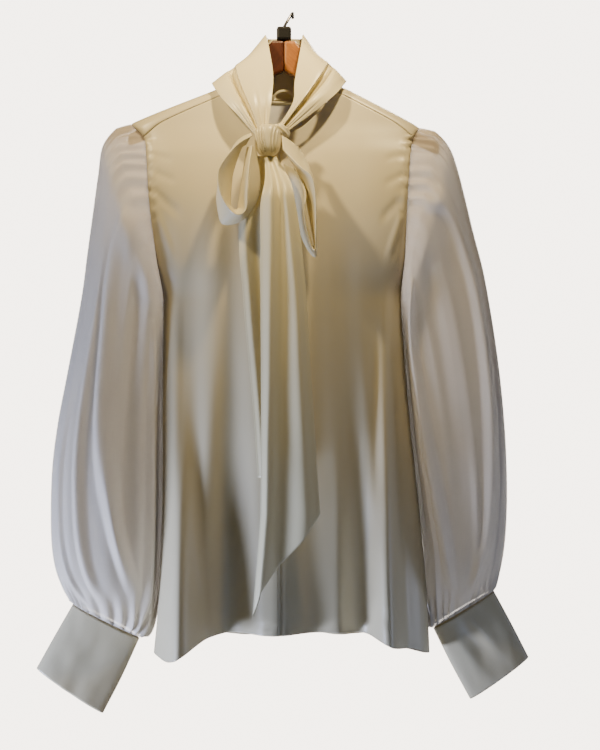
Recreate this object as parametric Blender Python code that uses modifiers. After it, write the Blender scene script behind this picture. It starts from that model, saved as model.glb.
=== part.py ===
"""Tie-neck blouse with balloon sleeves, hanging on a wooden hanger.

Metres, +Z up, the front facing -Y. The origin is the inner top of the hanger's hook, where a rail
carries it. Wearer's right is at -X.
"""

from collections import namedtuple
from math import acos, copysign, cos, pi, sin, sqrt

import bmesh
import bpy
from mathutils import Matrix, Vector

# Driving dimensions
CLOTH = 0.0012  # satin, with its facings pressed on
SHEER = 0.0010  # sleeve cloth
DOUBLE = 0.0020  # collar, two layers
TIE = 0.0016  # tie ends, two layers pressed flat
SEAM_GAP = 0.0007
ARMHOLE_GAP = 0.0009
SIDE_GAP = 0.0004  # each side seam edge stands this far off the seam's plane
PLACKET_X = -0.004
UNDERLAP_DROP = 0.0026
SHOULDER_ROUND = 0.014
HANGER_SWEEP = 0.018  # how far the hanger's ends come forward
HANGER_REACH = 0.190
HANGER_TILT = 0.030  # the wearer's right end hangs higher: rise for each metre out
WIRE = 0.0017
HOOK_RADIUS = 0.0098
HOOK_LEAN = 0.0105  # how far the hook leans from its foot to its top
CUBE = (0.0175, 0.0130, 0.0165)
CUBE_TOP = -0.0175
MITRE_GAP = 0.0003
FOOT_END = -0.052  # the hook's foot ends here, inside the wood
BORE_GAP = 0.0004
COLUMNS = 24  # round half of the body; the fronts and the back share them

# The body, as sections across it: half-widths left and right of x 0, depth of the front and the
# back at mid-width, and half-depth of the armhole.
Body = namedtuple("Body", "z right left front back armhole")
BODY = (
    Body(-0.090, 0.180, 0.162, 0.020, 0.018, 0.010),
    Body(-0.136, 0.180, 0.162, 0.030, 0.024, 0.012),
    Body(-0.156, 0.164, 0.152, 0.036, 0.028, 0.020),
    Body(-0.178, 0.160, 0.148, 0.042, 0.032, 0.030),
    Body(-0.234, 0.156, 0.144, 0.052, 0.038, 0.038),
    Body(-0.300, 0.149, 0.142, 0.058, 0.044, 0.026),
    Body(-0.345, 0.144, 0.140, 0.060, 0.048, 0.000),
    Body(-0.451, 0.145, 0.147, 0.062, 0.055, 0.000),
    Body(-0.570, 0.145, 0.159, 0.066, 0.062, 0.000),
    Body(-0.660, 0.147, 0.168, 0.070, 0.068, 0.000),
    Body(-0.720, 0.151, 0.172, 0.074, 0.072, 0.000),
    Body(-0.790, 0.158, 0.175, 0.078, 0.076, 0.000),
)

# Lines across the body. across runs from -1, the wearer's right side, to 1.
Line = namedtuple("Line", "across z")
FRONT_EDGE = (
    Line(-1.000, -0.1560),
    Line(-0.383, -0.1030),
    Line(-0.259, -0.1250),
    Line(-0.131, -0.1430),
    Line(0.000, -0.1520),
    Line(0.131, -0.1440),
    Line(0.259, -0.1240),
    Line(0.383, -0.1000),
    Line(1.000, -0.1560),
)
RIDGE = (
    Line(-1.000, -0.1365),
    Line(-0.470, -0.0960),
    Line(-0.400, -0.0900),
    Line(0.400, -0.0900),
    Line(0.460, -0.0930),
    Line(1.000, -0.1410),
)
FRONT_HEM = (
    Line(-1.000, -0.7640),
    Line(-0.850, -0.7620),
    Line(-0.550, -0.7380),
    Line(0.000, -0.7320),
    Line(0.550, -0.7330),
    Line(0.800, -0.7500),
    Line(1.000, -0.7640),
)
BACK_HEM = (
    Line(-1.000, -0.7640),
    Line(-0.500, -0.7560),
    Line(0.500, -0.7560),
    Line(1.000, -0.7640),
)
NECK_COLUMNS = 3  # the neckline is this many columns either side of the middle
OVER_ROWS = 4  # rows of the back from its shoulder seam up to the ridge
NECK_ROWS = 3  # rows from the ridge down to the back neckline
BACK_ROWS = 13  # rows from there to the hem
BACK_NECK_DEPTH = 0.014
LABEL_TOP = -0.1070
LABEL_DEEP = 0.0240
LOOP_REACH = 0.0150
LOOP_WIDE = 0.0030

# Folds of the body: where each is at the hem, its half-width there, how far it stands out of the
# panel, how far its foot leans and where it starts.
Fold = namedtuple("Fold", "x width out lean start")
FRONT_FOLDS = (
    Fold(-0.122, 0.034, 0.048, 0.010, -0.400),
    Fold(-0.058, 0.040, -0.026, -0.010, -0.340),
    Fold(-0.008, 0.030, 0.006, 0.000, -0.420),
    Fold(0.042, 0.030, -0.006, 0.000, -0.450),
    Fold(0.084, 0.026, -0.012, 0.010, -0.380),
    Fold(0.124, 0.028, 0.034, 0.012, -0.330),
)
BACK_FOLDS = (
    Fold(-0.100, 0.036, 0.030, 0.010, -0.380),
    Fold(-0.045, 0.032, -0.016, 0.000, -0.420),
    Fold(0.010, 0.034, 0.020, 0.000, -0.350),
    Fold(0.068, 0.030, -0.014, 0.006, -0.420),
    Fold(0.118, 0.032, 0.028, 0.010, -0.370),
)

# A sleeve, as rings from the armhole to the cuff: the ring's outer and inner ends, and the half-depth.
Ring = namedtuple("Ring", "outer_x outer_z inner_x inner_z depth")
SLEEVE_RIGHT = (
    Ring(-0.1806, -0.1360, -0.1396, -0.3450, 0.036),
    Ring(-0.1980, -0.1435, -0.1450, -0.3500, 0.047),
    Ring(-0.2150, -0.1630, -0.1475, -0.3580, 0.054),
    Ring(-0.2210, -0.1960, -0.1480, -0.3720, 0.056),
    Ring(-0.2270, -0.2340, -0.1485, -0.3900, 0.056),
    Ring(-0.2350, -0.2880, -0.1490, -0.4180, 0.056),
    Ring(-0.2430, -0.3440, -0.1495, -0.4500, 0.057),
    Ring(-0.2590, -0.4280, -0.1500, -0.5000, 0.058),
    Ring(-0.2710, -0.4900, -0.1500, -0.5430, 0.060),
    Ring(-0.2780, -0.5440, -0.1505, -0.5850, 0.061),
    Ring(-0.2800, -0.6000, -0.1515, -0.6270, 0.060),
    Ring(-0.2785, -0.6400, -0.1530, -0.6610, 0.056),
    Ring(-0.2735, -0.6680, -0.1550, -0.6920, 0.048),
    Ring(-0.2650, -0.6880, -0.1590, -0.7180, 0.036),
    Ring(-0.2570, -0.7020, -0.1660, -0.7400, 0.022),
    Ring(-0.2535, -0.7090, -0.1745, -0.7500, 0.013),
)
SLEEVE_LEFT = (
    Ring(0.1626, -0.1405, 0.1366, -0.3450, 0.036),
    Ring(0.1790, -0.1470, 0.1410, -0.3510, 0.047),
    Ring(0.1960, -0.1640, 0.1440, -0.3600, 0.054),
    Ring(0.2060, -0.1880, 0.1455, -0.3730, 0.056),
    Ring(0.2160, -0.2230, 0.1465, -0.3900, 0.056),
    Ring(0.2270, -0.2650, 0.1475, -0.4130, 0.056),
    Ring(0.2400, -0.3130, 0.1490, -0.4400, 0.057),
    Ring(0.2520, -0.3800, 0.1530, -0.4820, 0.058),
    Ring(0.2600, -0.4400, 0.1570, -0.5250, 0.060),
    Ring(0.2650, -0.5000, 0.1620, -0.5700, 0.061),
    Ring(0.2670, -0.5600, 0.1670, -0.6130, 0.060),
    Ring(0.2660, -0.6120, 0.1725, -0.6500, 0.056),
    Ring(0.2625, -0.6500, 0.1770, -0.6830, 0.048),
    Ring(0.2580, -0.6720, 0.1800, -0.7080, 0.036),
    Ring(0.2540, -0.6860, 0.1800, -0.7280, 0.022),
    Ring(0.2520, -0.6930, 0.1800, -0.7380, 0.013),
)
SLEEVE_BACK = 0.006  # the sleeve's middle lies this far behind the shoulder's line at the elbow

# Sleeve pleats: where each is round the ring in turns, half-width in turns, depth at the head,
# at the elbow and at the cuff.
Pleat = namedtuple("Pleat", "turn width head elbow cuff")
SLEEVE_PLEATS = (
    Pleat(0.040, 0.060, 0.003, 0.000, 0.003),
    Pleat(0.125, 0.060, 0.005, 0.006, 0.004),
    Pleat(0.210, 0.065, 0.004, 0.012, 0.004),
    Pleat(0.320, 0.060, 0.003, 0.007, 0.004),
    Pleat(0.420, 0.060, 0.000, 0.004, 0.003),
    Pleat(0.600, 0.060, 0.000, 0.005, 0.003),
    Pleat(0.690, 0.060, 0.003, 0.009, 0.004),
    Pleat(0.790, 0.065, 0.004, 0.009, 0.004),
    Pleat(0.885, 0.060, 0.005, 0.005, 0.004),
)

Cuff = namedtuple("Cuff", "outer_x outer_z inner_x inner_z depth")
CUFF_RIGHT = (
    Cuff(-0.2539, -0.7096, -0.1741, -0.7512, 0.0125),
    Cuff(-0.2760, -0.7480, -0.1945, -0.7960, 0.0120),
    Cuff(-0.2975, -0.7865, -0.2175, -0.8405, 0.0130),
)
CUFF_LEFT = (
    Cuff(0.2523, -0.6937, 0.1797, -0.7391, 0.0125),
    Cuff(0.2735, -0.7330, 0.2010, -0.7820, 0.0120),
    Cuff(0.2940, -0.7730, 0.2235, -0.8235, 0.0130),
)

# The collar, as stations from the knot round the back of the neck to the knot again. Each rail is
# a point on it: seam at the neckline, roll at its lowest fold, pleat at the foot of the pleat
# between its two draped folds, and rim at its top edge, which is also the edge of the opening.
Station = namedtuple("Station", "seam roll pleat rim")
COLLAR = (
    Station(
        (-0.020, -0.054, -0.1560), (-0.031, -0.0655, -0.1600),
        (-0.026, -0.0670, -0.1590), (-0.019, -0.0676, -0.1580),
    ),
    Station(
        (-0.036, -0.049, -0.1330), (-0.056, -0.060, -0.1310),
        (-0.038, -0.0600, -0.1260), (-0.014, -0.061, -0.1220),
    ),
    Station(
        (-0.060, -0.041, -0.1130), (-0.073, -0.046, -0.1110),
        (-0.049, -0.0460, -0.0990), (-0.012, -0.046, -0.0860),
    ),
    Station(
        (-0.0655, -0.019, -0.0930), (-0.0850, -0.024, -0.0900),
        (-0.058, -0.0270, -0.0715), (-0.017, -0.027, -0.0500),
    ),
    Station(
        (-0.0655, 0.003, -0.0905), (-0.0790, 0.003, -0.0885),
        (-0.056, 0.0000, -0.0670), (-0.022, -0.008, -0.0290),
    ),
    Station(
        (-0.0610, 0.0125, -0.1015), (-0.0660, 0.0130, -0.0920),
        (-0.047, 0.0120, -0.0640), (-0.021, 0.006, -0.0285),
    ),
    Station(
        (-0.040, 0.0155, -0.1025), (-0.042, 0.0180, -0.0930),
        (-0.034, 0.0170, -0.0620), (-0.016, 0.015, -0.0280),
    ),
    Station(
        (0.000, 0.0185, -0.1032), (0.000, 0.0200, -0.0950),
        (0.000, 0.0190, -0.0620), (0.001, 0.0165, -0.0275),
    ),
    Station(
        (0.040, 0.0155, -0.1025), (0.040, 0.0180, -0.0930),
        (0.032, 0.0170, -0.0610), (0.018, 0.015, -0.0280),
    ),
    Station(
        (0.0550, 0.0125, -0.1010), (0.0610, 0.0130, -0.0905),
        (0.044, 0.0120, -0.0620), (0.023, 0.006, -0.0285),
    ),
    Station(
        (0.0590, 0.003, -0.0890), (0.0710, 0.003, -0.0865),
        (0.051, 0.0000, -0.0630), (0.023, -0.008, -0.0290),
    ),
    Station(
        (0.0590, -0.019, -0.0915), (0.0740, -0.024, -0.0875),
        (0.053, -0.0270, -0.0675), (0.019, -0.027, -0.0540),
    ),
    Station(
        (0.052, -0.041, -0.1120), (0.0610, -0.046, -0.1070),
        (0.037, -0.0460, -0.0940), (0.013, -0.046, -0.0920),
    ),
    Station(
        (0.030, -0.049, -0.1330), (0.0350, -0.060, -0.1310),
        (0.020, -0.0600, -0.1200), (0.010, -0.061, -0.1220),
    ),
    Station(
        (-0.002, -0.054, -0.1560), (-0.0050, -0.0655, -0.1610),
        (-0.008, -0.0670, -0.1590), (-0.012, -0.0676, -0.1570),
    ),
)
COLLAR_PLEAT = 0.006  # how deep the pleats sink in front

KNOT_X, KNOT_Y, KNOT_Z = -0.0175, -0.0820, -0.1675
KNOT_WIDE, KNOT_DEEP, KNOT_HIGH = 0.0150, 0.0165, 0.0180

# The tie's loops, each a band between a front rim and a rear rim.
Rim = namedtuple("Rim", "front_x front_z rear_x rear_z")
LOOP_RIGHT = (
    Rim(-0.0350, -0.1650, -0.0365, -0.1600),
    Rim(-0.0520, -0.1770, -0.0530, -0.1690),
    Rim(-0.0700, -0.2010, -0.0680, -0.1940),
    Rim(-0.0725, -0.2190, -0.0760, -0.2250),
    Rim(-0.0665, -0.2390, -0.0745, -0.2490),
    Rim(-0.0525, -0.2550, -0.0680, -0.2630),
    Rim(-0.0410, -0.2500, -0.0460, -0.2580),
    Rim(-0.0390, -0.2280, -0.0285, -0.2330),
    Rim(-0.0375, -0.1990, -0.0260, -0.2060),
    Rim(-0.0343, -0.1760, -0.0313, -0.1760),
)
LOOP_LEFT = (
    Rim(0.0003, -0.1810, -0.0012, -0.1630),
    Rim(0.0180, -0.2000, 0.0170, -0.1750),
    Rim(0.0330, -0.2140, 0.0300, -0.1960),
    Rim(0.0370, -0.2380, 0.0370, -0.2230),
    Rim(0.0370, -0.2680, 0.0385, -0.2680),
    Rim(0.0360, -0.2950, 0.0380, -0.2990),
    Rim(0.0300, -0.2850, 0.0280, -0.2920),
    Rim(0.0245, -0.2570, 0.0180, -0.2690),
    Rim(0.0250, -0.2290, 0.0110, -0.2310),
    Rim(0.0130, -0.2020, 0.0010, -0.1950),
)
LOOP_FRONT = -0.112
LOOP_REAR = -0.078
LOOP_MIDDLE = -0.094
LOOP_TURNED_IN = 0.70
CORE_RIGHT = ((-0.044, -0.178), (-0.056, -0.243))
CORE_LEFT = ((0.010, -0.196), (0.034, -0.285))

# The tie's ends, as sections down them: x of the left edge, of the left fold, of the hollow, of the
# right fold and of the right edge.
Tail = namedtuple("Tail", "z left left_fold hollow right_fold right")
TAIL_FRONT = (
    Tail(-0.1860, -0.0210, -0.0180, -0.0150, -0.0120, -0.0080),
    Tail(-0.215, -0.0205, -0.0130, -0.0070, -0.0010, 0.0080),
    Tail(-0.242, -0.0250, -0.0130, -0.0035, 0.0040, 0.0142),
    Tail(-0.286, -0.0250, -0.0130, -0.0010, 0.0090, 0.0208),
    Tail(-0.344, -0.0250, -0.0140, 0.0000, 0.0140, 0.0260),
    Tail(-0.430, -0.0245, -0.0150, 0.0010, 0.0180, 0.0310),
    Tail(-0.520, -0.0245, -0.0170, 0.0010, 0.0220, 0.0370),
    Tail(-0.590, -0.0250, -0.0180, 0.0000, 0.0250, 0.0420),
)
TAIL_FRONT_Y = (-0.086, 0.022, 0.05)
TAIL_BACK_Y = (-0.0706, 0.005, 0.2)
TAIL_TIP = -0.707
TAIL_TIP_X = -0.034
TAIL_BACK = (
    Tail(-0.1830, -0.0300, -0.0270, -0.0240, -0.0210, -0.0170),
    Tail(-0.250, -0.0500, -0.0420, -0.0320, -0.0200, -0.0080),
    Tail(-0.344, -0.0460, -0.0380, -0.0280, -0.0180, -0.0060),
    Tail(-0.479, -0.0340, -0.0270, -0.0180, -0.0080, 0.0040),
    Tail(-0.552, -0.0290, -0.0220, -0.0120, -0.0020, 0.0080),
)

# The hanger's arms: top and bottom of the wood, and its thickness, at distances from the mitre.
Arm = namedtuple("Arm", "x top bottom thick")
HANGER = (
    Arm(0.000, -0.0345, -0.0710, 0.012),
    Arm(0.017, -0.0365, -0.0795, 0.012),
    Arm(0.030, -0.0540, -0.0890, 0.012),
    Arm(0.055, -0.0850, -0.1080, 0.012),
    Arm(0.080, -0.1030, -0.1240, 0.013),
    Arm(0.115, -0.1195, -0.1390, 0.015),
    Arm(0.150, -0.1370, -0.1530, 0.016),
    Arm(0.184, -0.1560, -0.1680, 0.014),
)

Slot = namedtuple("Slot", "name colour roughness metallic")
SATIN = Slot("ivory_satin", (0.80, 0.74, 0.60, 1), 0.42, 0.0)
CHIFFON = Slot("ivory_chiffon", (0.82, 0.77, 0.66, 1), 0.60, 0.0)
LABEL = Slot("white_label", (0.80, 0.78, 0.72, 1), 0.70, 0.0)
WOOD = Slot("hanger_wood", (0.42, 0.17, 0.05, 1), 0.40, 0.0)
PLASTIC = Slot("black_plastic", (0.02, 0.02, 0.02, 1), 0.35, 0.0)
STEEL = Slot("dark_steel", (0.10, 0.10, 0.11, 1), 0.30, 1.0)


def read(rows, column, at, key=None):
    """The value of a column where its rows' first column, or key, is at, along a smooth curve."""
    key = key or rows[0]._fields[0]
    ends = sorted((getattr(row, key), getattr(row, column)) for row in rows)
    at = min(max(at, ends[0][0]), ends[-1][0])
    last = len(ends) - 1
    i = max(k for k in range(last) if ends[k][0] <= at)
    (x0, y0), (x1, y1) = ends[i], ends[i + 1]

    def slope(k):
        a, b = ends[max(k - 1, 0)], ends[min(k + 1, last)]
        return (b[1] - a[1]) / (b[0] - a[0])

    wide = x1 - x0
    t = (at - x0) / wide
    return (
        y0 * (1 + 2 * t) * (1 - t) ** 2
        + slope(i) * wide * t * (1 - t) ** 2
        + y1 * t * t * (3 - 2 * t)
        - slope(i + 1) * wide * t * t * (1 - t)
    )


def straight(rows, at):
    """The z of a line at a place across, with straight runs between its rows."""
    at = min(max(at, rows[0].across), rows[-1].across)
    for a, b in zip(rows, rows[1:]):
        if at <= b.across:
            return a.z + (b.z - a.z) * (at - a.across) / (b.across - a.across)


def bump(distance, width):
    return 0.5 + 0.5 * cos(pi * distance / width) if abs(distance) < width else 0.0


def ease(t):
    t = min(max(t, 0.0), 1.0)
    return t * t * (3 - 2 * t)


def material(slot):
    made = bpy.data.materials.get(slot.name)
    if made is None:
        made = bpy.data.materials.new(slot.name)
        made.use_nodes = True
        shader = made.node_tree.nodes["Principled BSDF"]
        shader.inputs["Base Color"].default_value = slot.colour
        shader.inputs["Roughness"].default_value = slot.roughness
        shader.inputs["Metallic"].default_value = slot.metallic
    return made


def add(name, bm, slot):
    """A named object from a bmesh, in the blouse's collection, with its material."""
    mesh = bpy.data.meshes.new(name)
    bm.to_mesh(mesh)
    bm.free()
    mesh.shade_smooth()
    mesh.materials.append(material(slot))
    made = bpy.data.objects.new(name, mesh)
    bpy.data.collections["blouse"].objects.link(made)
    return made


def cloth(name, place, across, along, wall, slot, tube=False, inward=None, cut=None):
    """A wall of cloth: a grid whose points are put by place(u, v), thickened away from its face.

    A tube's first and last columns are joined. inward is a direction that the thickness goes.
    Faces whose middles cut(u, v) picks are left out."""
    bm = bmesh.new()
    bmesh.ops.create_grid(bm, x_segments=across, y_segments=along, size=0.5)
    if cut:
        middles = {face: face.calc_center_median() for face in bm.faces}
        gone = [face for face, at in middles.items() if cut(at.x + 0.5, at.y + 0.5)]
        bmesh.ops.delete(bm, geom=gone, context="FACES")
    for vertex in bm.verts:
        vertex.co = place(vertex.co.x + 0.5, vertex.co.y + 0.5)
    if tube:
        bmesh.ops.remove_doubles(bm, verts=bm.verts, dist=1e-6)
    bm.normal_update()
    if tube:
        middle = sum((v.co for v in bm.verts), Vector()) / len(bm.verts)
        facing = sum(f.normal.dot(f.calc_center_median() - middle) for f in bm.faces)
    else:
        facing = -sum(f.normal.dot(Vector(inward)) * f.calc_area() for f in bm.faces)
    if facing < 0:
        bmesh.ops.reverse_faces(bm, faces=bm.faces)
    made = add(name, bm, slot)
    solid = made.modifiers.new("wall", "SOLIDIFY")
    solid.thickness = wall
    solid.offset = -1
    return made


# The body panels


def hanger_y(x):
    """How far the hanger lies ahead of the hook's plane."""
    return -HANGER_SWEEP * (min(abs(x), HANGER_REACH) / HANGER_REACH) ** 1.3


def shoulder_round(drop):
    """The share of its depth that the body has this far below its ridge."""
    return sqrt(1 - (1 - min(drop / SHOULDER_ROUND, 1.0)) ** 2)


def folded(folds, x, z):
    """How far the folds stand out of a panel at x, z."""
    out = 0.0
    for fold in folds:
        down = (fold.start - z) / (fold.start - BODY[-1].z)
        if down > 0:
            middle = fold.x - fold.lean * (1 - down)
            out += fold.out * bump(x - middle, fold.width * (0.6 + 0.4 * down)) * ease(down) ** 1.2
    return out


def body_point(side, turn, z):
    """A point of the body's outer face. side is -1 for the front and 1 for the back; turn runs
    from 0 at the wearer's right to 1 at the left."""
    across = -cos(pi * turn)
    half = read(BODY, "right", z) if across < 0 else read(BODY, "left", z)
    x = across * half
    armhole = max(read(BODY, "armhole", z), 0.0)
    depth = read(BODY, "front" if side < 0 else "back", z)
    drop = max(straight(RIDGE, across) - z, 0.0)
    rounded = shoulder_round(drop)
    out = armhole + (depth - armhole) * sin(pi * turn) ** 0.75
    edge = ease(min(turn, 1 - turn) / 0.09)
    out = out * rounded + folded(FRONT_FOLDS if side < 0 else BACK_FOLDS, x, z) * edge
    forward = hanger_y(x) * (1 - ease((drop - 0.05) / 0.25))
    return Vector((x, forward + side * (out + SIDE_GAP), z))


def front_panel(name, turns, sink, along=13):
    """A front, with its columns at these turns round the body, sunk by sink(x) behind the face."""

    def place(u, v):
        turn = turns[round(u * (len(turns) - 1))]
        top = straight(FRONT_EDGE, -cos(pi * turn))
        hem = read(FRONT_HEM, "z", -cos(pi * turn))
        point = body_point(-1, turn, top + (hem - top) * (1 - v) ** 1.25)
        point.y += sink(point.x)
        return point

    return cloth(name, place, len(turns) - 1, along, CLOTH, SATIN, inward=(0, 1, 0))


def back_panel():
    """The back, from its hem over the shoulders to the forward shoulder seams, with the neckline
    cut out of its middle columns."""
    rows = OVER_ROWS + NECK_ROWS + BACK_ROWS

    def place(u, v):
        across = -cos(pi * u)
        ridge = straight(RIDGE, across)
        row = round((1 - v) * rows)
        if row <= OVER_ROWS:
            over = ridge - straight(FRONT_EDGE, across) - SEAM_GAP
            return body_point(-1, u, ridge - over * (1 - row / OVER_ROWS) ** 1.5)
        row -= OVER_ROWS
        if row <= NECK_ROWS:
            return body_point(1, u, ridge - BACK_NECK_DEPTH * (row / NECK_ROWS) ** 1.5)
        neck = ridge - BACK_NECK_DEPTH
        fallen = ((row - NECK_ROWS) / BACK_ROWS) ** 1.35
        return body_point(1, u, neck + (read(BACK_HEM, "z", across) - neck) * fallen)

    def in_neck(u, v):
        return abs(u - 0.5) < NECK_COLUMNS / COLUMNS and (1 - v) * rows < OVER_ROWS + NECK_ROWS

    return cloth("back", place, COLUMNS, rows, CLOTH, SATIN, inward=(0, -1, 0), cut=in_neck)


# Sleeves and cuffs


def middle_and_half(ring):
    """A ring's middle, and the way from there to its outer end."""
    outer = Vector((ring.outer_x, 0, ring.outer_z))
    inner = Vector((ring.inner_x, 0, ring.inner_z))
    return (outer + inner) / 2, (outer - inner) / 2


def sleeve(name, rings, side):
    """A balloon sleeve on its rings, its first ring lying round the armhole."""
    last = len(rings) - 1

    def pleated(turn, t):
        depth = 0.0
        for pleat in SLEEVE_PLEATS:
            off = (turn - pleat.turn + 0.5) % 1.0 - 0.5
            at = (
                pleat.head + (pleat.elbow - pleat.head) * ease(t / 0.5)
                if t < 0.5
                else pleat.elbow + (pleat.cuff - pleat.elbow) * ease((t - 0.5) / 0.5)
            )
            depth += at * bump(off, pleat.width)
        return depth * ease(t / 0.12) * ease((1 - t) / 0.06)

    def place(u, v):
        step = round((1 - v) * last)
        ring = rings[step]
        t = step / last
        middle, half = middle_and_half(ring)
        across, over = cos(2 * pi * u), sin(2 * pi * u)
        if step == 0:
            z = middle.z + half.z * across
            reach = -read(BODY, "right", z) if side < 0 else read(BODY, "left", z)
            drop = max(ring.outer_z - z, 0.0)
            rounded = shoulder_round(drop)
            hole = max(read(BODY, "armhole", z), 0.0) * rounded
            y = hanger_y(reach) * (1 - ease((drop - 0.05) / 0.25))
            if abs(over) > 1e-6:
                y += copysign(hole - SIDE_GAP, over)
            return Vector((reach + side * ARMHOLE_GAP, y, z))
        sunk = pleated(u, t)
        swell = 1 - sunk / max(half.length, 0.03)
        y0 = hanger_y(0.17) * (1 - ease(t / 0.45)) + SLEEVE_BACK * ease(t / 0.5)
        wide = copysign(abs(across) ** 0.85, across)
        deep = copysign(abs(over) ** 0.9, over)
        pull = 1 - sunk / ring.depth if ring.depth > 0.02 else 1.0
        return middle + half * wide * swell + Vector((0, y0 + ring.depth * deep * pull, 0))

    return cloth(name, place, 24, last, SHEER, CHIFFON, tube=True)


def cuff(name, rings):
    """A deep cuff, a flat tube down its three rings."""
    last = len(rings) - 1

    def place(u, v):
        ring = rings[round((1 - v) * last)]
        middle, half = middle_and_half(ring)
        across, over = cos(2 * pi * u), sin(2 * pi * u)
        deep = copysign(abs(over) ** 0.8, over)
        return middle + half * across + Vector((0, SLEEVE_BACK + ring.depth * deep, 0))

    return cloth(name, place, 20, last, CLOTH, SATIN, tube=True)


# Collar and tie


def curve_at(points, t):
    """A point at t, 0 to 1, along a Catmull-Rom curve through points."""
    last = len(points) - 1
    i = min(int(t * last), last - 1)
    f = t * last - i
    p = [Vector(points[min(max(i + k, 0), last)]) for k in (-1, 0, 1, 2)]
    return 0.5 * (
        2 * p[1]
        + (p[2] - p[0]) * f
        + (2 * p[0] - 5 * p[1] + 4 * p[2] - p[3]) * f * f
        + (3 * p[1] - p[0] - 3 * p[2] + p[3]) * f ** 3
    )


def collar():
    """The draped band round the neck, with a pleat sunk between its two folds on each side."""
    rails = [[getattr(station, field) for station in COLLAR] for field in Station._fields]
    down = (0.0, 0.17, 0.36, 0.50, 0.58, 0.66, 0.82, 1.0)
    sink = (0.0, 0.0, -0.35, 0.25, 1.0, 0.35, -0.30, 0.0)

    def place(u, v):
        step = round(v * (len(down) - 1))
        seam, roll, pleat, rim = (curve_at(rail, u) for rail in rails)
        part = down[step]
        if part <= 0.17:
            point = seam.lerp(roll, part / 0.17)
        elif part <= 0.58:
            point = roll.lerp(pleat, (part - 0.17) / 0.41)
        else:
            point = pleat.lerp(rim, (part - 0.58) / 0.42)
        off = abs(u - 0.5)
        in_front = ease((off - 0.17) / 0.12) * (1 - 0.75 * ease((off - 0.40) / 0.1))
        point.y += COLLAR_PLEAT * sink[step] * in_front
        return point

    return cloth("collar", place, 28, len(down) - 1, DOUBLE, SATIN, inward=(0, 1, 0))


def knot():
    """The knot: a band wrapped once round the others, drawn in towards its foot, with grooves."""
    bm = bmesh.new()
    bmesh.ops.create_uvsphere(bm, u_segments=20, v_segments=12, radius=1.0)
    for vertex in bm.verts:
        x, y, z = vertex.co
        wide = KNOT_WIDE * (1.0 + 0.16 * z) * abs(1 - z ** 4) ** 0.1
        groove = 1 - 0.07 * (0.5 + 0.5 * cos(4.5 * pi * (x - 0.25 * z)))
        deep = KNOT_DEEP * copysign(abs(y) ** 0.7, y)
        vertex.co = (
            KNOT_X + wide * x + 0.004 * z,
            KNOT_Y + deep * groove,
            KNOT_Z + KNOT_HIGH * z,
        )
    return add("knot", bm, SATIN)


def loop(name, rims, core):
    """A loop of the bow: a band from its rear rim forward to its front fold, and turned in from
    there towards its core, the line from the knot to the loop's foot."""
    front = [(rim.front_x, LOOP_FRONT, rim.front_z) for rim in rims]
    rear = [(rim.rear_x, LOOP_REAR, rim.rear_z) for rim in rims]

    def place(u, v):
        a, b = curve_at(front, u), curve_at(rear, u)
        squeeze = 0.30 + 0.70 * ease(min(u, 1 - u) / 0.22)
        if v <= 0.5:
            point = b.lerp(a, 2 * v)
        else:
            down = min(max((core[0][1] - a.z) / (core[0][1] - core[1][1]), 0.0), 1.0)
            inner_x = core[0][0] + (core[1][0] - core[0][0]) * down
            inner_z = core[0][1] + (core[1][1] - core[0][1]) * down
            inward = (2 * v - 1) * LOOP_TURNED_IN
            point = Vector((a.x + (inner_x - a.x) * inward, a.y, a.z + (inner_z - a.z) * inward))
            point.y += (LOOP_REAR - LOOP_FRONT) * 0.6 * (2 * v - 1) ** 1.5
        point.y = LOOP_MIDDLE + (point.y - LOOP_MIDDLE) * squeeze
        return point

    return cloth(name, place, 24, 4, CLOTH, SATIN, inward=(0, 1, 0))


def tail(name, rows, lie, deep, tip=None):
    """A hanging end of the tie, folded lengthwise, with its cut end on the bias where it has a
    tip. lie is its y at the head, how far it comes forward and the drop over which it does."""
    columns = ("left", "left_fold", "hollow", "right_fold", "right")
    lift = (0.0, -1.0, 0.35, -0.85, 0.0)

    def place(u, v):
        step = u * (len(columns) - 1)
        i = min(int(step), len(columns) - 2)
        f = step - i
        top, end = rows[0].z, rows[-1].z
        if tip is not None:
            end = rows[-1].z + (tip - rows[-1].z) * (1 - u)
        z = end + (top - end) * v
        x = read(rows, columns[i], z) * (1 - f) + read(rows, columns[i + 1], z) * f
        if tip is not None and z < rows[-1].z:
            x += (TAIL_TIP_X - rows[-1].left) * (rows[-1].z - z) / (rows[-1].z - tip)
        soft = deep * (0.4 + 0.6 * ease((top - z) / 0.06))
        y = lie[0] - lie[1] * ease((top - z) / lie[2])
        y += soft * (lift[i] * (1 - ease(f)) + lift[i + 1] * ease(f))
        return Vector((x, y, z))

    return cloth(name, place, 8, 10, TIE, SATIN, inward=(0, 1, 0))


# Label and hanging loop, inside the back neck


def label():
    """A woven label on the back's inner face, under the neck seam."""

    def place(u, v):
        turn = (COLUMNS / 2 - 1 + 2 * u) / COLUMNS
        point = body_point(1, turn, LABEL_TOP - LABEL_DEEP * (1 - v))
        point.y -= CLOTH + 0.0016
        return point

    return cloth("neck_label", place, 2, 1, 0.0008, LABEL, inward=(0, 1, 0))


def neck_loop():
    """A flat ribbon, arched over its two ends above the label."""

    def place(u, v):
        angle = pi * (1 - u)
        back = body_point(1, 0.5, LABEL_TOP).y - CLOTH
        reach = LOOP_REACH + LOOP_WIDE * (v - 0.5)
        out = 0.0026 + 0.009 * sin(angle)
        return Vector((reach * cos(angle), back - out, LABEL_TOP + reach * sin(angle)))

    return cloth("neck_loop", place, 14, 1, 0.0010, SATIN, inward=(0, 1, 0))


# The hanger


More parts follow.
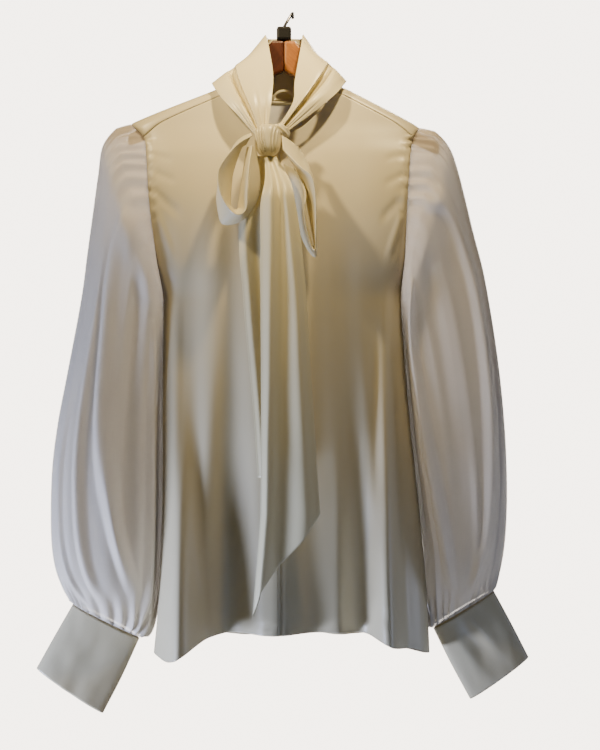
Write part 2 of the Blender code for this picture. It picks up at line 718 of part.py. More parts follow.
def hanger_arm(name, side):
    """One wooden arm from the mitre out, with its long edges rounded."""
    bm = bmesh.new()
    bmesh.ops.create_cube(bm, size=1.0)
    long_edges = [e for e in bm.edges if abs(e.verts[0].co.x - e.verts[1].co.x) > 0.5]
    bmesh.ops.subdivide_edges(bm, edges=long_edges, cuts=13, use_grid_fill=True)
    for vertex in bm.verts:
        reach = MITRE_GAP / 2 + (vertex.co.x + 0.5) * (HANGER[-1].x - MITRE_GAP / 2)
        top, bottom = read(HANGER, "top", reach), read(HANGER, "bottom", reach)
        thick = read(HANGER, "thick", reach)
        tilt = -HANGER_TILT * side * reach
        vertex.co = (
            side * reach,
            hanger_y(reach) + thick * vertex.co.y,
            (top + bottom) / 2 + (top - bottom) * vertex.co.z + tilt,
        )
    bmesh.ops.recalc_face_normals(bm, faces=bm.faces)
    made = add(name, bm, WOOD)
    bevel = made.modifiers.new("rounded", "BEVEL")
    bevel.width = 0.0028
    bevel.segments = 2
    bevel.limit_method = "ANGLE"
    bevel.angle_limit = 0.9
    return made


def cutter(name, radius, depth, middle_z):
    """A vertical round cutter for the hook's foot."""
    bm = bmesh.new()
    bmesh.ops.create_cone(
        bm, cap_ends=True, segments=20, radius1=radius, radius2=radius, depth=depth
    )
    mesh = bpy.data.meshes.new(name)
    bm.to_mesh(mesh)
    bm.free()
    made = bpy.data.objects.new(name, mesh)
    made.location = (0, 0, middle_z)
    made.hide_render = True
    made.display_type = "WIRE"
    bpy.data.collections["cutters"].objects.link(made)
    return made


def bored(made, tool):
    cut = made.modifiers.new("bore", "BOOLEAN")
    cut.object = tool
    cut.operation = "DIFFERENCE"


def size_cube():
    """The black cube on the hook's foot, with its edges rounded."""
    bm = bmesh.new()
    bmesh.ops.create_cube(bm, size=1.0)
    bmesh.ops.transform(bm, matrix=Matrix.Diagonal((*CUBE, 1)), verts=bm.verts)
    bmesh.ops.bevel(
        bm, geom=bm.edges[:], offset=0.0028, offset_type="OFFSET", segments=2,
        profile=0.5, affect="EDGES", material=-1,
    )
    made = add("size_cube", bm, PLASTIC)
    made.location = (0.0, 0.0, CUBE_TOP - CUBE[2] / 2)
    return made


def hook():
    """The hook: a straight foot down into the wood, a leaning rise to its top and a short fall."""
    top = Vector((HOOK_LEAN, HOOK_RADIUS, WIRE))
    points = [Vector((0, 0, FOOT_END)), Vector((0, 0, CUBE_TOP - CUBE[2])), Vector((0, 0, CUBE_TOP))]
    rise = WIRE - CUBE_TOP
    for step in range(1, 17):
        angle = step * pi / 20
        down = 1 - sin(angle)
        leg = (HOOK_LEAN, rise) if angle < pi / 2 else (0.0, HOOK_RADIUS)
        points.append(top - Vector((leg[0] * down, HOOK_RADIUS * cos(angle), leg[1] * down)))
    data = bpy.data.curves.new("hanger_hook", "CURVE")
    data.dimensions = "3D"
    spline = data.splines.new("POLY")
    spline.points.add(len(points) - 1)
    for point, place in zip(spline.points, points):
        point.co = (*place, 1)
    data.bevel_depth = WIRE
    data.bevel_resolution = 3
    data.use_fill_caps = True
    data.materials.append(material(STEEL))
    made = bpy.data.objects.new("hanger_hook", data)
    bpy.data.collections["blouse"].objects.link(made)


def hung():
    """Parents every piece to an empty, so that the hook's inner top comes to the origin."""
    centre = bpy.data.objects.new("hanger_centre", None)
    bpy.data.collections["blouse"].objects.link(centre)
    for collection in ("blouse", "cutters"):
        for piece in bpy.data.collections[collection].objects:
            if piece != centre:
                piece.parent = centre
    centre.location = (-HOOK_LEAN, -HOOK_RADIUS, 0)


def main():
    for old in list(bpy.data.objects):
        bpy.data.objects.remove(old)
    for name in ("blouse", "cutters"):
        made = bpy.data.collections.new(name)
        bpy.context.scene.collection.children.link(made)

    placket = acos(-PLACKET_X / BODY[6].right) / pi
    turns = [i / COLUMNS for i in range(COLUMNS + 1)]
    half = COLUMNS // 2
    front_panel("front_right", turns[:half] + [placket], lambda x: 0.0)
    front_panel(
        "front_left",
        turns[half - 2 : half] + [placket] + turns[half:],
        lambda x: UNDERLAP_DROP * ease(-x / 0.002),
    )
    back_panel()
    sleeve("sleeve_right", SLEEVE_RIGHT, -1)
    sleeve("sleeve_left", SLEEVE_LEFT, 1)
    cuff("cuff_right", CUFF_RIGHT)
    cuff("cuff_left", CUFF_LEFT)
    collar()
    knot()
    loop("bow_loop_right", LOOP_RIGHT, CORE_RIGHT)
    loop("bow_loop_left", LOOP_LEFT, CORE_LEFT)
    tail("tie_tail_front", TAIL_FRONT, TAIL_FRONT_Y, 0.006, TAIL_TIP)
    tail("tie_tail_back", TAIL_BACK, TAIL_BACK_Y, 0.003)
    label()
    neck_loop()
    deep = -FOOT_END + BORE_GAP + 2 * WIRE
    bore = cutter("hook_bore", WIRE + BORE_GAP, deep, 2 * WIRE - deep / 2)
    for name, side in (("hanger_arm_right", -1), ("hanger_arm_left", 1)):
        bored(hanger_arm(name, side), bore)
    bored(size_cube(), bore)
    hook()
    hung()


main()
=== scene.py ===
"""A tie-neck blouse with sheer balloon sleeves, on its wooden hanger.

Metres, +Z up, the front facing -Y, the wearer's right at -X. Sizes are measured from the hanger's
mitre, and HUNG moves them to the hook's top, where the frame has its origin.
"""

from bisect import bisect_right
from collections import namedtuple
from math import acos, atan, atan2, copysign, cos, pi, radians, sin, sqrt

import bmesh
import bpy
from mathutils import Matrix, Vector, noise


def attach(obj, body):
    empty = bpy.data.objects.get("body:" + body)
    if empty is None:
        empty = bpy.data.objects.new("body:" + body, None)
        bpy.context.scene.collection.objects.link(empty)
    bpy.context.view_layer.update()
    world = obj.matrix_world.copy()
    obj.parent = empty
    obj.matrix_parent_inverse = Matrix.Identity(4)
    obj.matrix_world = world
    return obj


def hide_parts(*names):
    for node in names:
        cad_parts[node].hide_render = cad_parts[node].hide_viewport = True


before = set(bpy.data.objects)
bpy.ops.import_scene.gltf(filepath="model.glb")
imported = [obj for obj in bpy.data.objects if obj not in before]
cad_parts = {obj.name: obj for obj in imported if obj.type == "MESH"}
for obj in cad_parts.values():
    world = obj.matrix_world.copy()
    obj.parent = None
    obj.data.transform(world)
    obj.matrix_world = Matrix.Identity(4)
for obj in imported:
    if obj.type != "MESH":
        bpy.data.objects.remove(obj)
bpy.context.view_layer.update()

# ------------
# The back. One panel of ivory satin, cut in one with the yoke: it passes over both shoulders and
# is joined to the fronts on two seams that lie forward of them. Its neckline takes the collar.

HUNG = Vector((-0.0105, -0.0098, 0.0))
SATIN_WALL = 0.0012
SEAM_GAP = 0.0007
SIDE_GAP = 0.0004
SHOULDER_ROUND = 0.014
HANGER_SWEEP, HANGER_REACH = 0.018, 0.19
BACK_FLAT = (0.372, 0.69)
# The neckline: its depth, its half-width in turns round the body and how much it narrows below.
BACK_NECK_DEPTH, NECK_SHARE, NECK_TAPER = 0.014, 0.125, 0.017
# The shares of the panel that lie in front of the shoulder ridge and at the neckline.
OVER_PART, NECK_PART = 0.13, 0.09
# The turns over which folds and creases fade towards the side seams.
FOLD_FADE, CREASE_FADE = 0.09, 0.02
BODY_UNEVEN = 0.0016


def table(kind, *rows):
    """A table's rows, with its columns named by kind."""
    return [kind(*row) for row in rows]


Body = namedtuple("Body", "z right left front back armhole")
BODY = table(Body,
    (-0.09, 0.18, 0.162, 0.02, 0.018, 0.01),
    (-0.136, 0.18, 0.162, 0.03, 0.024, 0.012),
    (-0.156, 0.164, 0.152, 0.036, 0.028, 0.02),
    (-0.178, 0.16, 0.148, 0.042, 0.032, 0.03),
    (-0.234, 0.156, 0.144, 0.052, 0.038, 0.038),
    (-0.3, 0.149, 0.142, 0.058, 0.044, 0.026),
    (-0.345, 0.144, 0.14, 0.06, 0.048, 0.0),
    (-0.451, 0.145, 0.147, 0.062, 0.055, 0.0),
    (-0.57, 0.145, 0.159, 0.066, 0.062, 0.0),
    (-0.66, 0.147, 0.168, 0.07, 0.068, 0.0),
    (-0.72, 0.151, 0.172, 0.074, 0.072, 0.0),
    (-0.79, 0.158, 0.175, 0.078, 0.076, 0.0),
)
Line = namedtuple("Line", "across z")
FRONT_EDGE = table(Line,
    (-1.0, -0.156), (-0.383, -0.103), (-0.259, -0.125), (-0.131, -0.143),
    (0.0, -0.152), (0.131, -0.144), (0.259, -0.124), (0.383, -0.1), (1.0, -0.156),
)
RIDGE = table(Line,
    (-1.0, -0.1365), (-0.47, -0.096), (-0.4, -0.09), (0.4, -0.09), (0.46, -0.093), (1.0, -0.141),
)
BACK_HEM = table(Line,
    (-1.0, -0.764), (-0.5, -0.756), (0.5, -0.756), (1.0, -0.764),
)
# The large folds: x at the hem, half-width there, how far out, lean of the foot and where it starts.
Fold = namedtuple("Fold", "x width out lean start")
FRONT_FOLDS = table(Fold,
    (-0.12, 0.036, 0.044, 0.004, -0.33),
    (-0.062, 0.042, -0.028, -0.006, -0.3),
    (-0.008, 0.03, 0.008, 0.0, -0.4),
    (0.038, 0.034, -0.01, 0.0, -0.36),
    (0.086, 0.026, -0.014, 0.008, -0.34),
    (0.122, 0.028, 0.036, 0.01, -0.29),
)
BACK_FOLDS = table(Fold,
    (-0.1, 0.036, 0.03, 0.01, -0.38),
    (-0.045, 0.032, -0.016, 0.0, -0.42),
    (0.01, 0.034, 0.02, 0.0, -0.35),
    (0.068, 0.03, -0.014, 0.006, -0.42),
    (0.118, 0.032, 0.028, 0.01, -0.37),
)
# The smaller creases: both ends, half-width and how far each stands out, or is sunk if negative.
Crease = namedtuple("Crease", "x0 z0 x1 z1 width out")
BACK_CREASES = table(Crease,
    (-0.12, -0.24, -0.112, -0.64, 0.018, -0.004),
    (-0.083, -0.38, -0.07, -0.7, 0.016, 0.0035),
    (-0.03, -0.3, -0.022, -0.62, 0.02, 0.003),
    (0.032, -0.36, 0.04, -0.7, 0.015, 0.003),
    (0.092, -0.25, 0.088, -0.6, 0.017, -0.0035),
    (0.118, -0.35, 0.124, -0.64, 0.013, 0.004),
    (-0.13, -0.19, -0.09, -0.3, 0.012, -0.0018),
    (0.12, -0.19, 0.085, -0.29, 0.012, -0.0018),
)
# The stitched hem: its depth, the closer rows of the grid there and how far it puckers.
HEM_DEEP, HEM_ZONE, HEM_SHARE, HEM_PUCKER = 0.0065, 0.016, 0.08, 0.0007
STITCH_LONG, STITCH_SHARE, STITCH_THICK = 0.003, 0.72, 0.00045


def smooth(pairs):
    """A smooth curve through pairs of a place and a value, as a function of the place."""
    ends = sorted(pairs)
    places = [end[0] for end in ends]
    last = len(ends) - 1
    around = zip(ends[:1] + ends[:-1], ends[1:] + ends[-1:])
    slopes = [(b[1] - a[1]) / (b[0] - a[0]) for a, b in around]

    def at(place):
        place = min(max(place, places[0]), places[-1])
        i = min(bisect_right(places, place) - 1, last - 1)
        wide = places[i + 1] - places[i]
        t = (place - places[i]) / wide
        return (
            ends[i][1] * (1 + 2 * t) * (1 - t) ** 2
            + slopes[i] * wide * t * (1 - t) ** 2
            + ends[i + 1][1] * t * t * (3 - 2 * t)
            - slopes[i + 1] * wide * t * t * (1 - t)
        )

    return at


def columns_of(rows, key=None):
    """Each column of a table as a smooth curve over its key column, or else over 0 to 1."""
    last = len(rows) - 1
    places = [getattr(row, key) if key else i / last for i, row in enumerate(rows)]
    return {
        field: smooth([(place, getattr(row, field)) for place, row in zip(places, rows)])
        for field in rows[0]._fields
    }


def straight(rows, at):
    """The z of a line at a place across, with straight runs between its rows."""
    at = min(max(at, rows[0].across), rows[-1].across)
    for a, b in zip(rows, rows[1:]):
        if at <= b.across:
            return a.z + (b.z - a.z) * (at - a.across) / (b.across - a.across)


def bump(distance, width):
    return 0.5 + 0.5 * cos(pi * distance / width) if abs(distance) < width else 0.0


def ease(t):
    t = min(max(t, 0.0), 1.0)
    return t * t * (3 - 2 * t)


def creased(creases, x, z):
    """How far the creases stand out of a surface at x, z."""
    out = 0.0
    for crease in creases:
        run_x, run_z = crease.x1 - crease.x0, crease.z1 - crease.z0
        t = ((x - crease.x0) * run_x + (z - crease.z0) * run_z) / (run_x ** 2 + run_z ** 2)
        if -0.1 < t < 1.1:
            off_x, off_z = x - crease.x0 - t * run_x, z - crease.z0 - t * run_z
            off = sqrt(off_x * off_x + off_z * off_z)
            out += crease.out * bump(off, crease.width) * ease((t + 0.1) / 0.4) * ease((1.1 - t) / 0.4)
    return out


def shoulder_round(drop):
    """The share of its depth that the body has this far below its ridge."""
    return sqrt(1 - (1 - min(drop / SHOULDER_ROUND, 1.0)) ** 2)


def hanger_y(x, drop=0.0):
    """The hanger's y at x, and the cloth's, which comes back to 0 as it drops from the ridge."""
    forward = -HANGER_SWEEP * (min(abs(x), HANGER_REACH) / HANGER_REACH) ** 1.3
    return forward * (1 - ease((drop - 0.05) / 0.25))


BODY_AT = columns_of(BODY, "z")


def body_point(side, turn, z, creases=()):
    """A point of the body's outer face. side is -1 for the front and 1 for the back; turn runs
    from 0 at the wearer's right to 1 at the left."""
    across = -cos(pi * turn)
    x = across * BODY_AT["right" if across < 0 else "left"](z)
    armhole = max(BODY_AT["armhole"](z), 0.0)
    depth = BODY_AT["front" if side < 0 else "back"](z)
    drop = max(straight(RIDGE, across) - z, 0.0)
    out = armhole + (depth - armhole) * sin(pi * turn) ** 0.75
    from_side = min(turn, 1 - turn)
    edge, seam = ease(from_side / FOLD_FADE), ease(from_side / CREASE_FADE)
    folds = 0.0
    for fold in FRONT_FOLDS if side < 0 else BACK_FOLDS:
        down = (fold.start - z) / (fold.start - BODY[-1].z)
        if down > 0:
            middle = fold.x - fold.lean * (1 - down)
            wide = fold.width * (0.6 + 0.4 * down)
            folds += fold.out * bump(x - middle, wide) * ease(down) ** 1.2
    uneven = BODY_UNEVEN * noise.noise((x * 22, side * 3.0, z * 5)) * ease(drop / 0.1)
    out = out * shoulder_round(drop) + (folds + uneven) * edge + creased(creases, x, z) * seam
    return Vector((x, hanger_y(x, drop) + side * (out + SIDE_GAP), z))


def row_height(top, hem, up):
    """The z of a row of a panel, up from 0 to 1, with the rows closer together in the hem."""
    if up < HEM_SHARE:
        return hem + HEM_ZONE * up / HEM_SHARE
    return top + (hem + HEM_ZONE - top) * ((1 - up) / (1 - HEM_SHARE)) ** 1.25


def hem_ripple(across, up):
    """How far the stitched hem puckers out, this far up from its edge."""
    return HEM_PUCKER * noise.noise((across * 95, 7.3, up * 60)) * (1 - ease(up / (2.4 * HEM_DEEP)))


def cloth(name, place, across, along, wall, flat, inward=(0, 1, 0), cut=None):
    """A wall of cloth: a grid whose points are put by place(u, v), thickened away from its face,
    less what cut(u, v) takes out of it. With inward=None it closes into a tube.

    Its UV map holds metres of the flat cut, from the piece's lower left corner."""
    bm = bmesh.new()
    bmesh.ops.create_grid(bm, x_segments=across, y_segments=along, size=0.5)
    if cut:
        middles = {face: face.calc_center_median() for face in bm.faces}
        gone = [face for face, at in middles.items() if cut(at.x + 0.5, at.y + 0.5)]
        bmesh.ops.delete(bm, geom=gone, context="FACES")
    layer = bm.loops.layers.uv.new("cut")
    for face in bm.faces:
        for corner in face.loops:
            at = corner.vert.co
            corner[layer].uv = ((at.x + 0.5) * flat[0], (at.y + 0.5) * flat[1])
    for vertex in bm.verts:
        vertex.co = place(vertex.co.x + 0.5, vertex.co.y + 0.5) + HUNG
    if inward:
        bm.normal_update()
        facing = -sum(f.normal.dot(Vector(inward)) * f.calc_area() for f in bm.faces)
    else:
        bmesh.ops.remove_doubles(bm, verts=bm.verts, dist=1e-6)
        bm.normal_update()
        middle = sum((v.co for v in bm.verts), Vector()) / len(bm.verts)
        facing = sum(f.normal.dot(f.calc_center_median() - middle) for f in bm.faces)
    if facing < 0:
        bmesh.ops.reverse_faces(bm, faces=bm.faces)
    made = finished(name, bm)
    solid = made.modifiers.new("wall", "SOLIDIFY")
    solid.thickness = wall
    solid.offset = -1
    return made


def hung(made, finish, node):
    """Gives a piece its cloth and puts it in the frame in the place of a CAD node."""
    finish.on(made)
    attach(made, "root")
    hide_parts(node)


def in_scene(name, data):
    made = bpy.data.objects.new(name, data)
    bpy.context.scene.collection.objects.link(made)
    return made


def finished(name, bm):
    """A smooth-shaded object from a bmesh."""
    mesh = bpy.data.meshes.new(name)
    bm.to_mesh(mesh)
    bm.free()
    mesh.shade_smooth()
    return in_scene(name, mesh)


class Wire:
    """A shader socket that adds Math nodes when it is used in an expression."""

    def __init__(self, finish, socket):
        self.finish = finish
        self.socket = socket

    def maths(self, operation, *values):
        return self.finish.node("ShaderNodeMath", {"operation": operation}, *values)

    def __add__(self, other):
        return self.maths("ADD", self, other)

    def __mul__(self, other):
        return self.maths("MULTIPLY", self, other)

    def __sub__(self, other):
        return self.maths("SUBTRACT", self, other)

    def __truediv__(self, other):
        return self.maths("DIVIDE", self, other)

    def size(self):
        return self.maths("ABSOLUTE", self)

    def under(self, other):
        return self.maths("LESS_THAN", self, other)

    def part(self, other):
        """What is left over past a whole number of others, as a share of one."""
        return self.maths("FRACT", self / other)

    __radd__ = __add__
    __rmul__ = __mul__


class Finish:
    """A material with its Principled shader, and one way to add any node to it."""

    def __init__(self, name, **sockets):
        self.material = bpy.data.materials.new(name)
        self.material.use_nodes = True
        self.tree = self.material.node_tree
        self.shader = self.tree.nodes["Principled BSDF"]
        self.set(**sockets)

    def set(self, **sockets):
        """Fills the shader's sockets, by their names with _ for each space."""
        for socket, value in sockets.items():
            self.put(self.shader.inputs[socket.replace("_", " ")], value)

    def put(self, socket, value):
        if isinstance(value, Wire):
            self.tree.links.new(value.socket, socket)
        else:
            socket.default_value = value

    def node(self, kind, settings, *values, out=0, **named):
        """A node's output. settings are set first, then values fill its sockets."""
        made = self.tree.nodes.new(kind)
        for key, value in settings.items():
            setattr(made, key, value)
        for socket, value in zip(made.inputs, values):
            self.put(socket, value)
        for socket, value in named.items():
            self.put(made.inputs[socket.replace("_", " ")], value)
        return Wire(self, made.outputs[out])

    def places(self, which):
        return self.node("ShaderNodeTexCoord", {}, out={"Object": 3, "UV": 2}[which])

    def noise(self, scale, detail=2.0, places=None):
        """Noise of one scale, or of a scale for each axis, by places or else the object's own."""
        places = places or self.places("Object")
        if isinstance(scale, tuple):
            places = self.node("ShaderNodeMapping", {}, places, Scale=scale)
            scale = 1.0
        return self.node("ShaderNodeTexNoise", {}, places, Scale=scale, Detail=detail)

    def blend(self, share, first, second):
        """A colour between two, by share."""
        made = self.tree.nodes.new("ShaderNodeMix")
        made.data_type = "RGBA"
        for i, value in ((0, share), (6, first), (7, second)):
            self.put(made.inputs[i], value)
        return Wire(self, made.outputs[2])

    def bumped(self, height, distance, strength=1.0):
        sockets = {"Height": height, "Distance": distance, "Strength": strength}
        self.set(Normal=self.node("ShaderNodeBump", {}, **sockets))

    def on(self, piece):
        piece.data.materials.clear()
        piece.data.materials.append(self.material)


def satin(name, hem=0.0, dark=(0.69, 0.605, 0.385, 1), light=(0.77, 0.695, 0.475, 1)):
    """Ivory satin: a smooth face with a soft sheen, a fine weave and, where hem is given, a line of
    stitches that far up from the cut's lower edge."""
    finish = Finish(name, Sheen_Weight=0.08, Sheen_Roughness=0.4, Specular_IOR_Level=0.62)
    finish.set(Sheen_Tint=(1.0, 0.97, 0.92, 1))
    cut = finish.places("UV")
    clouds = finish.noise((9, 9, 4))
    threads = finish.noise((2400, 300, 1), 1.0, cut)
    slubs = finish.noise((40, 900, 1), 3.0, cut)
    colour = finish.blend(clouds, dark, light)
    colour = finish.blend(threads * 0.1 + slubs * 0.06, colour, (0.62, 0.55, 0.4, 1))
    height = threads * 0.4 + slubs * 0.6
    if hem:
        across, up = (finish.node("ShaderNodeSeparateXYZ", {}, cut, out=axis) for axis in (0, 1))
        line = (up - hem).size().under(STITCH_THICK)
        stitch = line * across.part(STITCH_LONG).under(STITCH_SHARE)
        colour = finish.blend(stitch * 0.45, colour, (0.55, 0.47, 0.32, 1))
        colour = finish.blend(up.under(hem) * 0.16, colour, (0.6, 0.52, 0.36, 1))
        height = height + up.under(hem) * 2.5 - line * 5.0 + stitch * 3.0
    finish.set(Base_Color=colour, Roughness=0.27 + clouds * 0.1 + slubs * 0.06)
    finish.bumped(height, 0.00012, 0.5)
    return finish


body_satin = satin("body satin", hem=HEM_DEEP)


def back_place(u, v):
    across = -cos(pi * u)
    ridge = straight(RIDGE, across)
    down = 1 - v
    if down < OVER_PART:
        over = ridge - straight(FRONT_EDGE, across) - SEAM_GAP
        return body_point(-1, u, ridge - over * (1 - down / OVER_PART) ** 1.5)
    down -= OVER_PART
    if down < NECK_PART:
        return body_point(1, u, ridge - BACK_NECK_DEPTH * (down / NECK_PART) ** 1.5)
    neck = ridge - BACK_NECK_DEPTH
    hem = straight(BACK_HEM, across)
    z = row_height(neck, hem, v / (1 - OVER_PART - NECK_PART))
    point = body_point(1, u, z, BACK_CREASES)
    point.y += hem_ripple(across, z - hem)
    return point


def in_back_neck(u, v):
    down = (1 - v - OVER_PART) / NECK_PART
    return down < 1 and abs(u - 0.5) < NECK_SHARE - NECK_TAPER * ease(down)


back = cloth("blouse_back", back_place, 120, 100, SATIN_WALL, BACK_FLAT, (0, -1, 0), in_back_neck)
hung(back, body_satin, "back")

# ------------
# The fronts. Two satin panels that meet on a covered placket: the wearer's right one laps over
# the left one and hides its fastening. Each is gathered a little into its armhole.

# The placket: where its edge lies, how far the underlap is sunk and how far it reaches in turns.
PLACKET_X, UNDERLAP_DROP, UNDERLAP_TURN = -0.004, 0.0017, 0.055
FRONT_FLAT = (0.19, 0.64)
FRONT_HEM = smooth((
    (-1.0, -0.764), (-0.85, -0.762), (-0.55, -0.738), (0.0, -0.732),
    (0.55, -0.733), (0.8, -0.75), (1.0, -0.764),
))
FRONT_CREASES = table(Crease,
    (-0.104, -0.25, -0.112, -0.56, 0.022, -0.0028),
    (-0.128, -0.33, -0.132, -0.6, 0.014, 0.0032),
    (-0.086, -0.42, -0.088, -0.69, 0.018, 0.002),
    (-0.058, -0.22, -0.06, -0.5, 0.024, -0.003),
    (0.094, -0.4, 0.1, -0.62, 0.014, 0.003),
    (0.106, -0.38, 0.109, -0.6, 0.009, -0.0028),
    (0.121, -0.33, 0.124, -0.64, 0.014, 0.0038),
    (0.07, -0.28, 0.074, -0.56, 0.022, -0.003),
    (0.04, -0.52, 0.046, -0.7, 0.018, 0.002),
    (0.113, -0.702, 0.124, -0.722, 0.004, -0.0014),
    (-0.024, -0.712, -0.008, -0.701, 0.003, -0.001),
    (-0.026, -0.718, -0.008, -0.71, 0.003, 0.0008),
    (-0.02, -0.726, -0.007, -0.718, 0.003, -0.0009),
    (-0.152, -0.178, -0.128, -0.184, 0.005, -0.001),
    (-0.152, -0.198, -0.124, -0.21, 0.006, -0.0014),
    (-0.15, -0.222, -0.118, -0.25, 0.008, -0.0018),
    (-0.149, -0.24, -0.128, -0.3, 0.007, 0.0016),
    (0.142, -0.176, 0.118, -0.184, 0.005, -0.001),
    (0.142, -0.2, 0.116, -0.214, 0.006, -0.0014),
    (0.14, -0.226, 0.112, -0.256, 0.008, -0.0018),
    (0.139, -0.244, 0.12, -0.3, 0.007, 0.0016),
)
# The armhole's puckers: how far in they reach, where they end below and how far they stand out.
PUCKER_REACH, PUCKER_FOOT, PUCKER_OUT = 0.017, -0.275, 0.0052
front_satin = satin("front satin", hem=HEM_DEEP)


def front(name, node, first, last, underlap=0.0):
    """A front panel between two turns round the body, sunk by underlap past its middle edge."""

    def place(u, v):
        turn = first + (last - first) * u
        across = -cos(pi * turn)
        top, hem = straight(FRONT_EDGE, across), FRONT_HEM(across)
        z = row_height(top, hem, v)
        point = body_point(-1, turn, z, FRONT_CREASES)
        point.y += underlap * ease(-point.x / 0.002) - hem_ripple(across, z - hem)
        side = "right" if across < 0 else "left"
        from_seam = (1 - abs(across)) * BODY_AT[side](z)
        if from_seam < PUCKER_REACH and z > PUCKER_FOOT:
            uneven = noise.noise((3.0 * across, from_seam * 30, z * 210))
            near = 1 - ease(from_seam / PUCKER_REACH)
            point.y -= PUCKER_OUT * uneven * near * ease((z - PUCKER_FOOT) / 0.03)
        return point

    made = cloth(name, place, 72, 120, SATIN_WALL, FRONT_FLAT)
    hung(made, front_satin, node)


placket = acos(-PLACKET_X / BODY[6].right) / pi
front("blouse_front_right", "front_right", 0.0, placket)
front("blouse_front_left", "front_left", placket - UNDERLAP_TURN, 1.0, UNDERLAP_DROP)

# ------------
# The sleeves. Sheer ivory chiffon, cut full, gathered into the armhole and again into the cuff,
# so that they balloon from the elbow down in long soft folds.

SHEER_WALL = 0.0008
SLEEVE_FLAT = (0.44, 0.6)
# How far the head laps in behind the armhole's edge, and is sunk there; how far out the head lies
# on the hanger, and how far back the arm hangs.
ARMHOLE_LAP, ARMHOLE_SINK, HEAD_X, SLEEVE_BACK = 0.0026, 0.0016, 0.17, 0.006
Ring = namedtuple("Ring", "outer_x outer_z inner_x inner_z depth")
SLEEVE_RIGHT = table(Ring,
    (-0.1806, -0.136, -0.1396, -0.345, 0.036),
    (-0.198, -0.1435, -0.145, -0.35, 0.047),
    (-0.215, -0.163, -0.1475, -0.358, 0.054),
    (-0.221, -0.196, -0.148, -0.372, 0.056),
    (-0.227, -0.234, -0.1485, -0.39, 0.056),
    (-0.235, -0.288, -0.149, -0.418, 0.056),
    (-0.243, -0.344, -0.1495, -0.45, 0.057),
    (-0.259, -0.428, -0.15, -0.5, 0.058),
    (-0.271, -0.49, -0.15, -0.543, 0.06),
    (-0.278, -0.544, -0.1505, -0.585, 0.061),
    (-0.28, -0.6, -0.1515, -0.627, 0.06),
    (-0.2785, -0.64, -0.153, -0.661, 0.056),
    (-0.2735, -0.668, -0.155, -0.692, 0.048),
    (-0.265, -0.688, -0.159, -0.718, 0.036),
    (-0.257, -0.702, -0.166, -0.74, 0.022),
    (-0.2535, -0.709, -0.1745, -0.75, 0.013),
)
SLEEVE_LEFT = table(Ring,
    (0.1626, -0.1405, 0.1366, -0.345, 0.036),
    (0.179, -0.147, 0.141, -0.351, 0.047),
    (0.196, -0.164, 0.144, -0.36, 0.054),
    (0.206, -0.188, 0.1455, -0.373, 0.056),
    (0.216, -0.223, 0.1465, -0.39, 0.056),
    (0.227, -0.265, 0.1475, -0.413, 0.056),
    (0.24, -0.313, 0.149, -0.44, 0.057),
    (0.252, -0.38, 0.153, -0.482, 0.058),
    (0.26, -0.44, 0.157, -0.525, 0.06),
    (0.265, -0.5, 0.162, -0.57, 0.061),
    (0.267, -0.56, 0.167, -0.613, 0.06),
    (0.266, -0.612, 0.1725, -0.65, 0.056),
    (0.2625, -0.65, 0.177, -0.683, 0.048),
    (0.258, -0.672, 0.18, -0.708, 0.036),
    (0.254, -0.686, 0.18, -0.728, 0.022),
    (0.252, -0.693, 0.18, -0.738, 0.013),
)
# The long pleats: place round the sleeve in turns, half-width in turns, depth at three heights.
Pleat = namedtuple("Pleat", "turn width head elbow cuff")
SLEEVE_PLEATS = table(Pleat,
    (0.04, 0.06, 0.003, 0.0, 0.003),
    (0.125, 0.06, 0.005, 0.006, 0.004),
    (0.21, 0.065, 0.004, 0.012, 0.004),
    (0.32, 0.06, 0.003, 0.007, 0.004),
    (0.42, 0.06, 0.0, 0.004, 0.003),
    (0.6, 0.06, 0.0, 0.005, 0.003),
    (0.69, 0.06, 0.003, 0.009, 0.004),
    (0.79, 0.065, 0.004, 0.009, 0.004),
    (0.885, 0.06, 0.005, 0.005, 0.004),
)
# The long folds of the drape: place in turns at four heights, half-width on each side in turns,
# the stretch of the sleeve that each runs over, and how far it stands out, or is sunk if negative.
Drape = namedtuple("Drape", "head upper lower cuff inward outward start end out")
DRAPES_RIGHT = table(Drape,
    (0.725, 0.79, 0.715, 0.6, 0.05, 0.022, 0.03, 0.84, 0.0105),
    (0.77, 0.822, 0.8, 0.735, 0.03, 0.02, 0.25, 0.93, 0.0055),
    (0.88, 0.88, 0.872, 0.8, 0.022, 0.03, 0.45, 0.98, 0.0045),
    (0.62, 0.605, 0.59, 0.61, 0.024, 0.034, 0.22, 0.97, 0.0075),
    (0.665, 0.7, 0.68, 0.69, 0.045, 0.04, 0.15, 0.75, -0.006),
    (0.925, 0.93, 0.925, 0.9, 0.04, 0.04, 0.1, 0.8, -0.004),
    (0.545, 0.55, 0.54, 0.54, 0.018, 0.02, 0.3, 0.95, -0.0045),
    (0.05, 0.06, 0.07, 0.1, 0.04, 0.024, 0.08, 0.95, 0.006),
    (0.16, 0.18, 0.17, 0.19, 0.03, 0.045, 0.04, 0.85, 0.0085),
    (0.275, 0.29, 0.3, 0.29, 0.05, 0.026, 0.05, 0.98, 0.008),
    (0.38, 0.37, 0.39, 0.38, 0.026, 0.03, 0.25, 0.92, 0.0055),
    (0.225, 0.235, 0.24, 0.24, 0.024, 0.022, 0.2, 0.8, -0.005),
)
